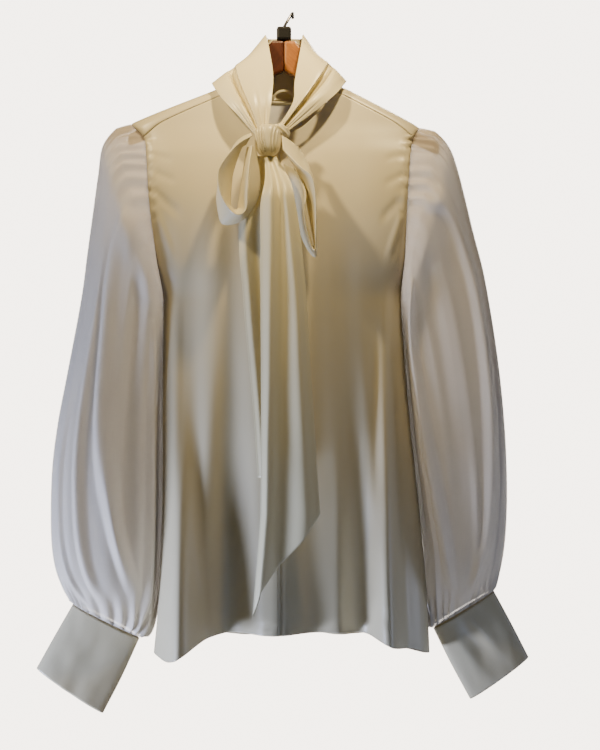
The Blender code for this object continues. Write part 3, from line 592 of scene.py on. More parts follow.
DRAPES_LEFT = table(Drape,
    (0.65, 0.622, 0.668, 0.74, 0.045, 0.022, 0.06, 0.88, 0.013),
    (0.745, 0.84, 0.81, 0.71, 0.024, 0.048, 0.02, 0.9, 0.0095),
    (0.57, 0.585, 0.61, 0.64, 0.02, 0.022, 0.3, 0.97, 0.005),
    (0.7, 0.725, 0.735, 0.73, 0.045, 0.045, 0.15, 0.78, -0.0065),
    (0.9, 0.915, 0.9, 0.85, 0.035, 0.04, 0.2, 0.92, -0.0045),
    (0.8, 0.78, 0.77, 0.77, 0.016, 0.018, 0.55, 0.98, 0.004),
    (0.54, 0.545, 0.55, 0.56, 0.018, 0.018, 0.1, 0.8, -0.004),
    (0.04, 0.05, 0.08, 0.11, 0.024, 0.04, 0.06, 0.94, 0.0065),
    (0.14, 0.17, 0.19, 0.18, 0.046, 0.028, 0.03, 0.9, 0.008),
    (0.26, 0.28, 0.27, 0.29, 0.03, 0.05, 0.05, 0.96, 0.0085),
    (0.39, 0.38, 0.36, 0.37, 0.028, 0.026, 0.22, 0.9, 0.0055),
    (0.215, 0.23, 0.225, 0.235, 0.022, 0.024, 0.2, 0.82, -0.005),
)
PLEAT_SHARE, DRAPE_FADE = 0.45, 0.16
SLEEVE_UNEVEN = 0.0016
# A section's roundness across and front to back: 1 is an ellipse, and less is squarer.
ROUND_WIDE, ROUND_DEEP = 0.85, 0.9
# Where the inner edge is tucked in to the body: place along the sleeve, reach and depth.
ARM_TUCK_AT, ARM_TUCK_REACH, ARM_TUCK_DEEP = 0.26, 0.2, 0.0018
LOW_TUCK_AT, LOW_TUCK_REACH = 0.84, 0.16
# Rows of gathers: how many, seed, depth, and where along the sleeve they fade in and out.
Gathers = namedtuple("Gathers", "count seed deep start rise end fall")
HEAD_GATHERS = Gathers(36, 2.0, 0.0036, 0.0, 0.01, 0.17, 0.15)
CUFF_PLEATS = Gathers(21, 9.0, 0.0062, 0.79, 0.18, 1.0, 0.02)
CUFF_GATHERS = Gathers(58, 5.0, 0.0012, 0.93, 0.06, 1.0, 0.008)
SEAM_GATHER = 0.0013


def chiffon(name):
    """Sheer ivory chiffon: a fine open weave that lets what is behind it show, with painted shade
    darkening its head.
    """
    finish = Finish(name, Specular_IOR_Level=0.25, Sheen_Weight=0.25, Sheen_Roughness=0.35)
    cut = finish.places("UV")
    clouds = finish.noise((8, 8, 3))
    warp = finish.noise((1500, 60, 1), 1.0, cut)
    weft = finish.noise((60, 1500, 1), 1.0, cut)
    weave = (warp + weft) * 0.5
    up = finish.node("ShaderNodeSeparateXYZ", {}, cut, out=1)
    colour = finish.blend(clouds, (0.82, 0.755, 0.635, 1), (0.88, 0.825, 0.725, 1))
    # Painted shade: the head is darkened to a mauve-brown, standing in for shade and the hanger seen
    # through the gathered cloth.
    head_painted_shade = finish.node("ShaderNodeMapRange", {}, up, 0.47, 0.58, 0.0, 0.55)
    colour = finish.blend(head_painted_shade, colour, (0.5, 0.385, 0.31, 1))
    colour = finish.blend(weave * 0.12, colour, (0.6, 0.55, 0.45, 1))
    from_cuff = finish.node("ShaderNodeMapRange", {}, up, 0.44, 0.59, 0.58, 0.44)
    finish.set(Base_Color=colour, Roughness=0.4 + weave * 0.12, Alpha=from_cuff + weave * 0.12)
    finish.bumped(weave, 0.0001, 0.4)
    return finish


sleeve_chiffon = chiffon("sleeve chiffon, painted head shade")


def middle_and_half(rail, t, tuck=0.0):
    """A section's middle at t, and the way from it to its outer edge. tuck moves its inner edge."""
    outer = Vector((rail["outer_x"](t), 0, rail["outer_z"](t)))
    inner = Vector((rail["inner_x"](t) - tuck, 0, rail["inner_z"](t)))
    return (outer + inner) / 2, (outer - inner) / 2


def gathered(turn, row, side):
    """An uneven row of gathers round a sleeve, from -1 to 1."""
    seed = side + row.seed
    wander = 0.35 * noise.noise((turn * 9, seed, 0.0))
    size = 0.6 + 0.8 * noise.noise((turn * 17, seed, 4.0))
    return size * sin(2 * pi * (row.count * turn + wander * 3))


def over_shoulder(across):
    """How far a place round the sleeve's head lies over the shoulder, from 0 to 1."""
    return ease((across + 0.3) / 0.5)


def sleeve(name, rings, drapes, side, node, tuck, low_tuck):
    """A balloon sleeve on its rings, its first ring lying round the armhole. tuck brings its inner
    edge in to the body's side, and low_tuck its part above the cuff."""
    last = len(rings) - 1
    lines = [
        smooth([(0.0, d.head), (0.35, d.upper), (0.68, d.lower), (1.0, d.cuff)]) for d in drapes
    ]
    rail = columns_of(rings)

    def sunk(turn, t):
        depth = 0.0
        for pleat in SLEEVE_PLEATS:
            off = (turn - pleat.turn + 0.5) % 1.0 - 0.5
            if abs(off) < pleat.width:
                if t < 0.5:
                    at = pleat.head + (pleat.elbow - pleat.head) * ease(2 * t)
                else:
                    at = pleat.elbow + (pleat.cuff - pleat.elbow) * ease(2 * t - 1)
                depth += at * bump(off, pleat.width)
        depth *= PLEAT_SHARE * ease(t / 0.12) * ease((1 - t) / 0.06)
        for drape, line in zip(drapes, lines):
            off = (turn - line(t) + 0.5) % 1.0 - 0.5
            run = ease((t - drape.start) / DRAPE_FADE) * ease((drape.end - t) / DRAPE_FADE)
            depth -= drape.out * bump(off, drape.outward if off > 0 else drape.inward) * run
        for row in (HEAD_GATHERS, CUFF_PLEATS, CUFF_GATHERS):
            run = ease((t - row.start) / row.rise) * ease((row.end - t) / row.fall)
            if row is HEAD_GATHERS:
                run *= 0.2 + 0.8 * over_shoulder(cos(2 * pi * turn))
            depth += row.deep * gathered(turn, row, side) * run
        uneven = SLEEVE_UNEVEN * noise.noise((turn * 9, side * 2.0, t * 3.0))
        return depth + uneven * ease(t / 0.1) * ease((1 - t) / 0.1)

    def armhole(middle, half, across, over):
        z = middle.z + half.z * across
        reach = side * BODY_AT["right" if side < 0 else "left"](z)
        drop = max(rings[0].outer_z - z, 0.0)
        hole = max(BODY_AT["armhole"](z), 0.0) * shoulder_round(drop)
        y = hanger_y(reach, drop)
        if abs(over) > 1e-6:
            y += copysign(max(hole - ARMHOLE_SINK, 0.0), over)
        turn = atan2(over, across) / (2 * pi) % 1.0
        y += SEAM_GATHER * gathered(turn, HEAD_GATHERS, side) * abs(over) * over_shoulder(across)
        return Vector((reach - side * ARMHOLE_LAP, y, z))

    def place(u, v):
        t = 1 - v
        below_arm = ARM_TUCK_DEEP * bump(t - ARM_TUCK_AT, ARM_TUCK_REACH)
        above_cuff = low_tuck * bump(t - LOW_TUCK_AT, LOW_TUCK_REACH)
        middle, half = middle_and_half(rail, t, side * (tuck + below_arm + above_cuff))
        depth = rail["depth"](t)
        across, over = cos(2 * pi * u), sin(2 * pi * u)
        deep_in = sunk(u % 1.0, t)
        swell = 1 - deep_in / max(half.length, 0.03)
        y = hanger_y(HEAD_X) * (1 - ease(t / 0.45)) + SLEEVE_BACK * ease(t / 0.5)
        wide = copysign(abs(across) ** ROUND_WIDE, across)
        deep = copysign(abs(over) ** ROUND_DEEP, over)
        pull = 1 - deep_in / max(depth, 0.02)
        point = middle + half * wide * swell + Vector((0, y + depth * deep * pull, 0))
        from_hole = t * last
        if from_hole < 1:
            point = armhole(middle, half, across, over).lerp(point, from_hole)
        return point

    made = cloth(name, place, 280, 150, SHEER_WALL, SLEEVE_FLAT, inward=None)
    hung(made, sleeve_chiffon, node)


sleeve("blouse_sleeve_right", SLEEVE_RIGHT, DRAPES_RIGHT, -1, "sleeve_right", 0.0045, 0.0)
sleeve("blouse_sleeve_left", SLEEVE_LEFT, DRAPES_LEFT, 1, "sleeve_left", 0.0036, 0.005)

# ------------
# The cuffs. Deep plain bands of satin, folded double at the wrist edge, with the sleeve's
# gathers caught in the upper seam.

CUFF_FLAT = (0.2, 0.095)
Cuff = namedtuple("Cuff", "outer_x outer_z inner_x inner_z depth")
CUFF_RIGHT = table(Cuff,
    (-0.2539, -0.7096, -0.1741, -0.7512, 0.0125),
    (-0.276, -0.748, -0.1945, -0.796, 0.012),
    (-0.2975, -0.7865, -0.2175, -0.8405, 0.013),
)
CUFF_LEFT = table(Cuff,
    (0.2523, -0.6937, 0.1797, -0.7391, 0.0125),
    (0.2735, -0.733, 0.201, -0.782, 0.012),
    (0.294, -0.773, 0.2235, -0.8235, 0.013),
)
CUFF_DENT, CUFF_UNEVEN, CUFF_SEAM = 0.0022, 0.0012, 0.0005
cuff_satin = satin("cuff satin")


def cuff(name, rings, side, node):
    """A deep cuff, a flat tube with a soft dent or two in its faces."""
    rail = columns_of(rings)

    def place(u, v):
        t = 1 - v
        middle, half = middle_and_half(rail, t)
        across, over = cos(2 * pi * u), sin(2 * pi * u)
        deep = copysign(abs(over) ** 0.8, over) * rail["depth"](t)
        deep -= copysign(CUFF_DENT, over) * bump(across + 0.35 - 0.5 * t, 0.4) * sin(pi * t)
        deep += CUFF_UNEVEN * noise.noise((across * 3, side * 4.0, t * 3)) * abs(over)
        caught = CUFF_SEAM * gathered(u % 1.0, CUFF_GATHERS, side)
        deep += caught * ease((0.2 - t) / 0.2) * abs(over)
        return middle + half * across + Vector((0, SLEEVE_BACK + deep, 0))

    made = cloth(name, place, 120, 40, SATIN_WALL, CUFF_FLAT, inward=None)
    hung(made, cuff_satin, node)


cuff("blouse_cuff_right", CUFF_RIGHT, -1, "cuff_right")
cuff("blouse_cuff_left", CUFF_LEFT, 1, "cuff_left")

# ------------
# The collar. A wide band of doubled satin sewn to the neckline and drawn up round the neck by its
# own ends. On each side it lies in two folds, the inner one overlapping the outer one.

COLLAR_WALL, COLLAR_PLEAT, COLLAR_UNEVEN = 0.0016, 0.0085, 0.0012
COLLAR_FLAT = (0.4, 0.085)
# Sections from the wearer's right round the back to the left: x and z of four lines up the band.
Station = namedtuple("Station", "seam_x seam_z roll_x roll_z pleat_x pleat_z rim_x rim_z")
COLLAR = table(Station,
    (-0.02, -0.156, -0.031, -0.16, -0.026, -0.159, -0.019, -0.158),
    (-0.036, -0.133, -0.056, -0.131, -0.038, -0.126, -0.014, -0.122),
    (-0.06, -0.113, -0.073, -0.111, -0.049, -0.099, -0.012, -0.086),
    (-0.0655, -0.093, -0.085, -0.09, -0.058, -0.0715, -0.017, -0.05),
    (-0.0655, -0.0905, -0.079, -0.0885, -0.056, -0.067, -0.022, -0.029),
    (-0.061, -0.1015, -0.066, -0.092, -0.047, -0.064, -0.021, -0.0285),
    (-0.04, -0.1025, -0.042, -0.093, -0.034, -0.062, -0.016, -0.028),
    (0.0, -0.1032, 0.0, -0.095, 0.0, -0.062, 0.001, -0.0275),
    (0.04, -0.1025, 0.04, -0.093, 0.032, -0.061, 0.018, -0.028),
    (0.055, -0.101, 0.061, -0.0905, 0.044, -0.062, 0.023, -0.0285),
    (0.059, -0.089, 0.071, -0.0865, 0.051, -0.063, 0.023, -0.029),
    (0.059, -0.0915, 0.074, -0.0875, 0.053, -0.0675, 0.019, -0.054),
    (0.052, -0.112, 0.061, -0.107, 0.037, -0.094, 0.013, -0.092),
    (0.03, -0.133, 0.035, -0.131, 0.02, -0.12, 0.01, -0.122),
    (-0.002, -0.156, -0.005, -0.161, -0.008, -0.159, -0.012, -0.157),
)
# The y of the same lines, from the front to the middle of the back. Both sides share it.
Lie = namedtuple("Lie", "seam roll pleat rim")
COLLAR_LIE = table(Lie,
    (-0.054, -0.0655, -0.067, -0.0676), (-0.049, -0.06, -0.06, -0.061),
    (-0.041, -0.046, -0.046, -0.046), (-0.019, -0.024, -0.027, -0.027), (0.003, 0.003, 0.0, -0.008),
    (0.0125, 0.013, 0.012, 0.006), (0.0155, 0.018, 0.017, 0.015), (0.0185, 0.02, 0.019, 0.0165),
)
# The places of the roll and the pleat up the band, and how far forward the pleat stands there.
ROLL_AT, PLEAT_AT = 0.17, 0.58
COLLAR_SINK = smooth((
    (0.0, 0.0), (0.17, 0.0), (0.34, -0.35), (0.45, -0.15), (0.5, 1.0), (0.575, 1.35),
    (0.59, 1.0), (0.604, -0.4), (0.63, -0.62), (0.7, -0.6), (0.85, -0.3), (1.0, 0.0),
))
# The lip of the inner fold reaches this share of the way back over the hollow.
COLLAR_LIP = smooth((
    (0.0, 0.0), (0.54, 0.0), (0.59, 0.02), (0.63, 0.045), (0.68, 0.03), (0.78, 0.0), (1.0, 0.0),
))
COLLAR_TURN_UNDER = Vector((0, -0.002, -0.0022))
# Fine draws in the band: where across it, how wide, how deep, and how far from the knot they run.
Draw = namedtuple("Draw", "down width deep reach")
COLLAR_DRAWS = table(Draw,
    (0.27, 0.04, 0.0009, 0.13), (0.36, 0.035, 0.0007, 0.08), (0.74, 0.045, 0.0009, 0.14),
    (0.88, 0.04, 0.0008, 0.1),
)
# Painted light: the tie's satin is the body's satin made lighter and more golden, standing in for warm
# light bounced in the bow's folds.
tie_satin_painted_glow = satin("tie satin, painted golden light", dark=(0.76, 0.67, 0.39, 1), light=(0.83, 0.755, 0.51, 1))


def curve_at(points, t):
    """A point at t, 0 to 1, along a Catmull-Rom curve through points."""
    last = len(points) - 1
    i = min(int(t * last), last - 1)
    f = t * last - i
    p = [Vector(points[min(max(i + k, 0), last)]) for k in (-1, 0, 1, 2)]
    return 0.5 * (
        2 * p[1]
        + (p[2] - p[0]) * f
        + (2 * p[0] - 5 * p[1] + 4 * p[2] - p[3]) * f * f
        + (3 * p[1] - p[0] - 3 * p[2] + p[3]) * f ** 3
    )


def collar_line(name):
    """The points of one of the collar's lines, round the neck."""
    lies = COLLAR_LIE + COLLAR_LIE[-2::-1]
    return [
        (getattr(station, name + "_x"), getattr(lie, name), getattr(station, name + "_z"))
        for station, lie in zip(COLLAR, lies)
    ]


COLLAR_LINES = [collar_line(name) for name in Lie._fields]


def collar_place(u, v):
    seam, roll, pleat, rim = (curve_at(line, u) for line in COLLAR_LINES)
    if v <= ROLL_AT:
        point = seam.lerp(roll, v / ROLL_AT)
    elif v <= PLEAT_AT:
        point = roll.lerp(pleat, (v - ROLL_AT) / (PLEAT_AT - ROLL_AT))
    else:
        point = pleat.lerp(rim, (v - PLEAT_AT) / (1 - PLEAT_AT))
    off = abs(u - 0.5)
    # The folds open in front of the shoulders and close again towards the knot.
    in_front = ease((off - 0.215) / 0.12) * (1 - 0.8 * ease((off - 0.4) / 0.1))
    point.y += COLLAR_PLEAT * COLLAR_SINK(v) * in_front
    point += (roll - rim) * COLLAR_LIP(v) * in_front
    point += COLLAR_TURN_UNDER * (1 - ease(v / 0.06)) * (1 - ease((off - 0.15) / 0.1))
    from_knot = 0.5 - off
    for draw in COLLAR_DRAWS:
        run = ease(from_knot / 0.02) * ease((draw.reach - from_knot) / (0.7 * draw.reach))
        point.y += draw.deep * bump(v - draw.down - 0.06 * from_knot, draw.width) * run
    uneven = COLLAR_UNEVEN * noise.noise((u * 16, 2.0, v * 3))
    point.y += uneven * ease(v / 0.2) * ease((1 - v) / 0.1)
    return point


collar = cloth("blouse_collar", collar_place, 150, 112, COLLAR_WALL, COLLAR_FLAT)
hung(collar, tie_satin_painted_glow, "collar")

# ------------
# The knot. The tie's end passes over the other and is drawn down tight: a smooth face in the
# middle, wraps that crease at each side of it, and a small roll where it comes out at the top.

KNOT = Vector((-0.0175, -0.082, -0.1675))
KNOT_WIDE, KNOT_DEEP, KNOT_HIGH = 0.015, 0.0165, 0.0185
# Grooves of the wraps: x at the top and at the foot, half-width and depth.
Groove = namedtuple("Groove", "top foot width deep")
KNOT_GROOVES = table(Groove,
    (-0.94, -0.3, 0.09, 0.2), (-0.74, -0.16, 0.08, 0.18), (-0.5, -0.02, 0.07, 0.16),
    (-0.26, 0.1, 0.06, 0.1), (0.6, 0.34, 0.09, 0.1), (0.88, 0.56, 0.1, 0.12),
)
KNOT_BOW = 0.3
# The roll where the tie leaves the knot: its two ends and its half-thickness.
ROLL_FROM, ROLL_TO = Vector((-0.013, -0.084, -0.1535)), Vector((0.0075, -0.079, -0.161))
ROLL_THICK, ROLL_BOW = 0.0062, 0.0022


def rounded(at, power, root):
    """How much a unit ball is filled out at a place on it, to a barrel with softer ends."""
    return (1 - min(abs(at.z), 1.0) ** power) ** root / max(sqrt(at.x * at.x + at.y * at.y), 1e-6)


bm = bmesh.new()
bmesh.ops.create_uvsphere(bm, u_segments=112, v_segments=64, radius=1.0)
for vertex in bm.verts:
    x, y, z = vertex.co
    round_by = rounded(vertex.co, 3.0, 0.42)
    x, y = x * round_by, y * round_by
    bowed = x + KNOT_BOW * (1 - z * z) * 0.5
    sunk = sum(
        groove.deep * bump(bowed - groove.foot - (groove.top - groove.foot) * (z + 1) / 2, groove.width)
        for groove in KNOT_GROOVES
    )
    waist = 1 - 0.1 * max(-z, 0.0) ** 2
    deep = KNOT_DEEP * copysign(abs(y) ** 0.75, y) * (1 - sunk)
    wide = KNOT_WIDE * waist * x * (1 - 0.25 * sunk)
    vertex.co = KNOT + HUNG + Vector((wide, deep, KNOT_HIGH * z))
knot_verts = set(bm.verts)
bmesh.ops.create_uvsphere(bm, u_segments=64, v_segments=40, radius=1.0)
along = ROLL_TO - ROLL_FROM
for vertex in set(bm.verts) - knot_verts:
    x, y, z = vertex.co
    round_by = rounded(vertex.co, 2.6, 0.45)
    thick = ROLL_THICK * round_by * (1 + 0.12 * sin(9 * x * round_by + 5 * z))
    middle = ROLL_FROM.lerp(ROLL_TO, (z + 1) / 2) + Vector((0, 0, ROLL_BOW * (1 - z * z)))
    outward = Vector((-along.z * x, 0, along.x * x)).normalized()
    vertex.co = middle + HUNG + outward * abs(x) * thick
    vertex.co.y += y * thick * 0.9
knot = finished("tie_knot", bm)
hung(knot, tie_satin_painted_glow, "knot")

# ------------
# The bow. Each loop is the doubled tie turned back on itself: a band seen from its edge, open
# towards the front, with a softer fold of the same band lying inside it.

LOOP_WALL = 0.0012
LOOP_FLAT = (0.2, 0.054)
Rim = namedtuple("Rim", "front_x front_z rear_x rear_z")
LOOP_RIGHT = table(Rim,
    (-0.035, -0.165, -0.0365, -0.16),
    (-0.052, -0.177, -0.053, -0.169),
    (-0.07, -0.201, -0.068, -0.194),
    (-0.0725, -0.219, -0.076, -0.225),
    (-0.0665, -0.239, -0.0745, -0.249),
    (-0.0525, -0.255, -0.068, -0.263),
    (-0.041, -0.25, -0.046, -0.258),
    (-0.039, -0.228, -0.0285, -0.233),
    (-0.0375, -0.199, -0.026, -0.206),
    (-0.0343, -0.176, -0.0313, -0.176),
)
LOOP_LEFT = table(Rim,
    (0.0003, -0.181, -0.0012, -0.163),
    (0.018, -0.2, 0.017, -0.175),
    (0.033, -0.214, 0.03, -0.196),
    (0.037, -0.238, 0.037, -0.223),
    (0.037, -0.268, 0.0385, -0.268),
    (0.036, -0.295, 0.038, -0.299),
    (0.03, -0.285, 0.028, -0.292),
    (0.0245, -0.257, 0.018, -0.269),
    (0.025, -0.229, 0.011, -0.231),
    (0.013, -0.202, 0.001, -0.195),
)
LOOP_FRONT, LOOP_MIDDLE, LOOP_REAR = -0.112, -0.094, -0.078
# How far a loop's band is turned in towards the core, and how thin its ends are squeezed.
LOOP_TURNED_IN, LOOP_SQUEEZE = 0.7, 0.3
CORE_RIGHT = ((-0.044, -0.178), (-0.056, -0.243))
CORE_LEFT = ((0.01, -0.196), (0.034, -0.285))


def loop(name, rims, core, node):
    """A loop of the bow: a band from its rear rim forward to its front fold, and turned in from
    there towards its core, the line from the knot to the loop's foot."""
    front_rim = [(rim.front_x, LOOP_FRONT, rim.front_z) for rim in rims]
    rear_rim = [(rim.rear_x, LOOP_REAR, rim.rear_z) for rim in rims]

    def place(u, v):
        a, b = curve_at(front_rim, u), curve_at(rear_rim, u)
        squeeze = LOOP_SQUEEZE + (1 - LOOP_SQUEEZE) * ease(min(u, 1 - u) / 0.22)
        if v <= 0.5:
            point = b.lerp(a, 2 * v)
        else:
            down = min(max((core[0][1] - a.z) / (core[0][1] - core[1][1]), 0.0), 1.0)
            inner_x = core[0][0] + (core[1][0] - core[0][0]) * down
            inner_z = core[0][1] + (core[1][1] - core[0][1]) * down
            inward = (2 * v - 1) * LOOP_TURNED_IN
            point = Vector((a.x + (inner_x - a.x) * inward, a.y, a.z + (inner_z - a.z) * inward))
            point.y += (LOOP_REAR - LOOP_FRONT) * 0.6 * (2 * v - 1) ** 1.5
        point.y = LOOP_MIDDLE + (point.y - LOOP_MIDDLE) * squeeze
        return point

    made = cloth(name, place, 96, 30, LOOP_WALL, LOOP_FLAT)
    hung(made, tie_satin_painted_glow, node)


loop("bow_loop_of_right_side", LOOP_RIGHT, CORE_RIGHT, "bow_loop_right")
loop("bow_loop_of_left_side", LOOP_LEFT, CORE_LEFT, "bow_loop_left")

# ------------
# The tie's ends. Two long doubled strips of the same satin, folded lengthwise as they come out
# of the knot and opening as they fall. The front one is cut on the bias at its foot.

TIE_WALL = 0.0014
Tail = namedtuple("Tail", "z left left_fold hollow right_fold right")
TAIL_FRONT = table(Tail,
    (-0.186, -0.021, -0.018, -0.015, -0.012, -0.008),
    (-0.215, -0.0205, -0.013, -0.007, -0.001, 0.008),
    (-0.242, -0.025, -0.013, -0.0035, 0.004, 0.0142),
    (-0.286, -0.025, -0.013, -0.001, 0.009, 0.0208),
    (-0.344, -0.025, -0.014, 0.0, 0.014, 0.026),
    (-0.43, -0.0245, -0.015, 0.001, 0.018, 0.031),
    (-0.52, -0.0245, -0.017, 0.001, 0.022, 0.037),
    (-0.59, -0.025, -0.018, 0.0, 0.025, 0.042),
)
TAIL_TIP, TAIL_TIP_X = -0.707, -0.034
TAIL_BACK = table(Tail,
    (-0.183, -0.03, -0.027, -0.024, -0.021, -0.017),
    (-0.25, -0.05, -0.042, -0.032, -0.02, -0.008),
    (-0.344, -0.046, -0.038, -0.028, -0.018, -0.006),
    (-0.479, -0.034, -0.027, -0.018, -0.008, 0.004),
    (-0.552, -0.029, -0.022, -0.012, -0.002, 0.008),
)
TAIL_FRONT_Y, TAIL_BACK_Y = (-0.086, 0.022, 0.05), (-0.0706, 0.005, 0.2)
TAIL_UNEVEN = 0.0012
# How far each lengthwise line stands in or out of the strip, as a share of its depth.
TAIL_LIFT = Tail(z=0.0, left=0.0, left_fold=-1.0, hollow=0.35, right_fold=-0.85, right=0.0)
# Painted light: the ends are the same satin made lighter and more golden still, for the light and warm
# bounce on them.
tail_satin_painted_light = satin("tie end satin, painted light", dark=(0.84, 0.755, 0.44, 1), light=(0.9, 0.83, 0.57, 1))


def tail(name, rows, lie, deep, flat, node, tip):
    """A hanging end of the tie. lie is its y at the head, how far it comes forward and the drop
    over which it does; tip is the z of its point, which is lower where it is cut on the bias."""
    rail = columns_of(rows, "z")
    columns, lift = Tail._fields[1:], TAIL_LIFT[1:]

    def place(u, v):
        step = u * (len(columns) - 1)
        i = min(int(step), len(columns) - 2)
        f = step - i
        top = rows[0].z
        end = rows[-1].z + (tip - rows[-1].z) * (1 - u)
        z = end + (top - end) * v
        x = rail[columns[i]](z) * (1 - f) + rail[columns[i + 1]](z) * f
        if z < rows[-1].z:
            x += (TAIL_TIP_X - rows[-1].left) * (rows[-1].z - z) / (rows[-1].z - tip)
        soft = deep * (0.4 + 0.6 * ease((top - z) / 0.06))
        y = lie[0] - lie[1] * ease((top - z) / lie[2])
        y += soft * (lift[i] * (1 - ease(f)) + lift[i + 1] * ease(f))
        y += TAIL_UNEVEN * noise.noise((u * 2.5, 3.0, z * 14)) * ease((top - z) / 0.05)
        return Vector((x, y, z))

    made = cloth(name, place, 48, 140, TIE_WALL, flat)
    hung(made, tail_satin_painted_light, node)


tail("tie_end_front", TAIL_FRONT, TAIL_FRONT_Y, 0.006, (0.06, 0.5), "tie_tail_front", TAIL_TIP)
tail("tie_end_rear", TAIL_BACK, TAIL_BACK_Y, 0.003, (0.04, 0.37), "tie_tail_back", TAIL_BACK[-1].z)

# ------------
# The label and the hanging loop. A small woven label, bare, is sewn under the back neck seam, and
# a narrow satin ribbon is arched above it to hang the blouse by.

LABEL_TOP, LABEL_WIDE, LABEL_DEEP = -0.107, 0.046, 0.024
LABEL_WALL, LABEL_GAP, LABEL_TURN = 0.0008, 0.0016, 1 / 24
RIBBON_REACH, RIBBON_WIDE, RIBBON_WALL = 0.015, 0.003, 0.001
RIBBON_GAP, RIBBON_ARCH = 0.0026, 0.009


def label_place(u, v):
    turn = 0.5 + LABEL_TURN * (2 * u - 1)
    point = body_point(1, turn, LABEL_TOP - LABEL_DEEP * (1 - v))
    point.y -= SATIN_WALL + LABEL_GAP
    return point


woven_tape = Finish("label weave", Specular_IOR_Level=0.3, Sheen_Weight=0.2)
cut = woven_tape.places("UV")
rib = woven_tape.node(
    "ShaderNodeTexWave", {"bands_direction": "Y"}, cut, out=1, Scale=900.0, Distortion=1.0
)
ribbed = woven_tape.blend(rib * 0.3, (0.86, 0.84, 0.79, 1), (0.62, 0.6, 0.54, 1))
woven_tape.set(Base_Color=ribbed, Roughness=0.62 + rib * 0.15)
woven_tape.bumped(rib, 0.00015, 0.6)
LABEL_FLAT = (LABEL_WIDE, LABEL_DEEP)
label = cloth("neck_label_bare", label_place, 24, 16, LABEL_WALL, LABEL_FLAT)
hung(label, woven_tape, "neck_label")


def ribbon_place(u, v):
    angle = pi * (1 - u)
    behind = body_point(1, 0.5, LABEL_TOP).y - SATIN_WALL
    reach = RIBBON_REACH + RIBBON_WIDE * (v - 0.5)
    out = RIBBON_GAP + RIBBON_ARCH * sin(angle)
    return Vector((reach * cos(angle), behind - out, LABEL_TOP + reach * sin(angle)))


RIBBON_FLAT = (0.047, RIBBON_WIDE)
ribbon = cloth("neck_ribbon", ribbon_place, 48, 4, RIBBON_WALL, RIBBON_FLAT)
hung(ribbon, tie_satin_painted_glow, "neck_loop")

# ------------
# The hanger. Two arms of lacquered hardwood, mitred and joined under the hook, with the grain along
# each arm. The wearer's right one is the darker, which is painted shade: both arms are of one wood.


def lacquered_wood(name, light, dark, slant):
    """Hardwood under clear lacquer, with its grain running down the arm at a slant."""
    finish = Finish(name, Coat_Weight=0.45, Coat_Roughness=0.12, Specular_IOR_Level=0.4)
    places = finish.node("ShaderNodeMapping", {}, finish.places("Object"), Rotation=(0, slant, 0))
    waver = finish.noise((30, 60, 90), 3.0, places)
    rings = finish.noise((60, 420, 900), 4.0, places)
    pores = finish.noise((260, 1800, 2600), 2.0, places)
    grain = rings * 0.7 + waver * 0.3
    lighter = finish.node("ShaderNodeMapRange", {}, grain, 0.32, 0.7, 0.0, 1.0)
    colour = finish.blend(lighter, (*dark, 1), (*light, 1))
    colour = finish.blend(pores.under(0.42) * 0.35, colour, (*(c * 0.45 for c in dark), 1))
    finish.set(Base_Color=colour, Roughness=0.34 + pores * 0.14)
    finish.bumped(pores, 0.0001, 0.3)
    return finish


# Painted shade: the wearer's right arm is given darker colours than the left, though both are one wood.
for node, light, dark, slant in (
    ("hanger_arm_right", (0.105, 0.024, 0.005), (0.048, 0.01, 0.002), 0.75),
    ("hanger_arm_left", (0.4, 0.155, 0.034), (0.24, 0.078, 0.015), -0.75),
):
    wood = lacquered_wood(node.replace("_", " ") + " wood", light, dark, slant)
    wood.on(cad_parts[node])

# ------------
# The size cube. A moulded black plastic block threaded on the hook's foot, with a fine grain and
# pale scuffs.

moulded = Finish("moulded black plastic", Specular_IOR_Level=0.22)
grain = moulded.noise(2600.0, 2.0)
scuffs = moulded.noise((160, 160, 420), 4.0)
black = moulded.blend(scuffs * 0.35, (0.0035, 0.0035, 0.004, 1), (0.014, 0.014, 0.015, 1))
moulded.set(Base_Color=black, Roughness=0.38 + scuffs * 0.22)
moulded.bumped(grain, 0.0001, 0.35)
moulded.on(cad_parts["size_cube"])

# ------------
# The hook. Round steel wire with a dark plated finish, screwed down through the cube into the
# joint of the arms, and leaning a little to the wearer's left.

plated = Finish("dark plated steel", Metallic=1.0)
streaks = plated.noise((900, 900, 120), 3.0)
steel = plated.blend(streaks, (0.085, 0.085, 0.09, 1), (0.22, 0.22, 0.23, 1))
plated.set(Base_Color=steel, Roughness=0.24 + streaks * 0.18)
plated.on(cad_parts["hanger_hook"])

# ------------
# The studio. A pale floor under the blouse, two warm lamps high in front of it, cool soft panels at
# both sides and below, a lamp behind and a pale surround.

FLOOR_Z, FLOOR_REACH = -1.25, 1.25
VIEW_MIDDLE = Vector((0.0087, -0.008, -0.4344))
VIEW_BACK, VIEW_HALF_HIGH = 1.62, 0.45

bm = bmesh.new()
bmesh.ops.create_circle(bm, cap_ends=True, segments=96, radius=FLOOR_REACH)
bmesh.ops.translate(bm, verts=bm.verts, vec=(VIEW_MIDDLE.x, VIEW_MIDDLE.y, FLOOR_Z))
floor = finished("floor", bm)
pale = Finish("pale floor", Roughness=0.8)
mottle = pale.noise(3.0)
pale.set(Base_Color=pale.blend(mottle, (0.8, 0.775, 0.74, 1), (0.84, 0.82, 0.79, 1)))
pale.on(floor)

world = bpy.data.worlds.new("pale surround")
world.use_nodes = True
bpy.context.scene.world = world
sky = world.node_tree
ray = sky.nodes.new("ShaderNodeLightPath")
either = sky.nodes.new("ShaderNodeMixShader")
sky.links.new(ray.outputs["Is Camera Ray"], either.inputs[0])
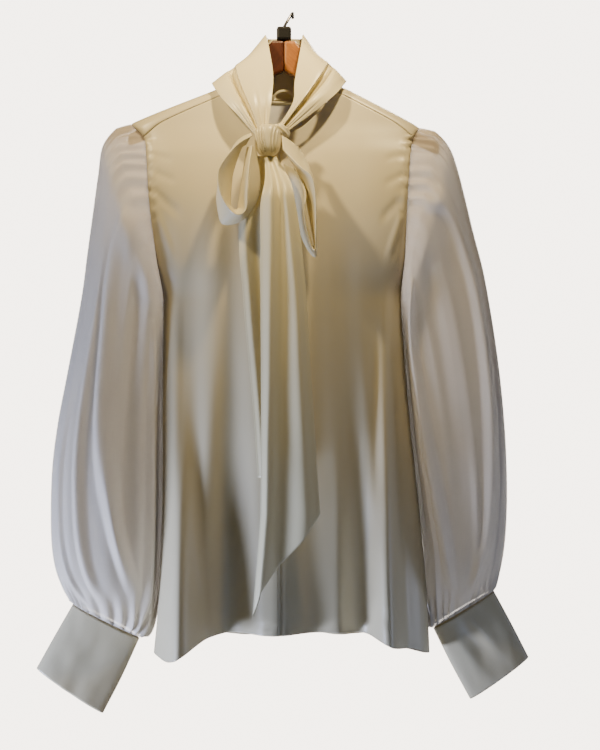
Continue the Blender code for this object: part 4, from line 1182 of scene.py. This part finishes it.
# A faint cool surround lights the cloth, and a pale one is seen behind it.
surrounds = (((0.86, 0.91, 1.0, 1), 0.035), ((1.0, 0.905, 0.8, 1), 5.7))
for (colour, strength), socket in zip(surrounds, either.inputs[1:]):
    surround = sky.nodes.new("ShaderNodeBackground")
    surround.inputs["Color"].default_value = colour
    surround.inputs["Strength"].default_value = strength
    sky.links.new(surround.outputs[0], socket)
sky.links.new(either.outputs[0], sky.nodes["World Output"].inputs[0])

Lamp = namedtuple("Lamp", "name place aim size power colour spread")
LAMPS = table(Lamp,
    ("warm lamp right", (0.2, -0.42, 0.46), (0.0, -0.05, -0.02),
         0.07, 0.88, (1.0, 0.77, 0.42), 54),
    ("warm lamp left", (-0.44, -0.46, 0.26), (0.0, -0.05, -0.06),
         0.07, 0.76, (1.0, 0.78, 0.44), 60),
    ("cool panel left", (-1.05, -0.3, -1.22), (0.0, -0.05, -0.76),
         0.5, 9.5, (0.58, 0.67, 1.0), 80),
    ("cool panel low", (0.4, -0.8, -1.25), (0.08, -0.04, -0.84),
         0.4, 0.19, (0.4, 0.56, 1.0), 45),
    ("cool panel right", (1.3, -0.2, -0.8), (0.1, 0.0, -0.58),
         0.5, 1.9, (0.62, 0.7, 1.0), 180),
    ("rear lamp", (0.3, 1.7, 0.6), (0.0, 0.0, -0.4),
         0.9, 30, (1.0, 0.9, 0.76), 180),
)
for lamp in LAMPS:
    light = bpy.data.lights.new(lamp.name, "AREA")
    light.shape = "DISK"
    light.size = lamp.size
    light.energy = lamp.power
    light.color = lamp.colour
    light.spread = radians(lamp.spread)
    made = in_scene(lamp.name, light)
    made.location = lamp.place
    towards = Vector(lamp.aim) - Vector(lamp.place)
    made.rotation_euler = towards.to_track_quat("-Z", "Y").to_euler()

lens = bpy.data.cameras.new("camera")
lens.sensor_fit = "VERTICAL"
lens.angle = 2 * atan(VIEW_HALF_HIGH / VIEW_BACK)
camera = in_scene("camera", lens)
camera.location = VIEW_MIDDLE - Vector((0, VIEW_BACK, 0))
camera.rotation_euler = Vector((0, 1, 0)).to_track_quat("-Z", "Y").to_euler()
bpy.context.scene.camera = camera
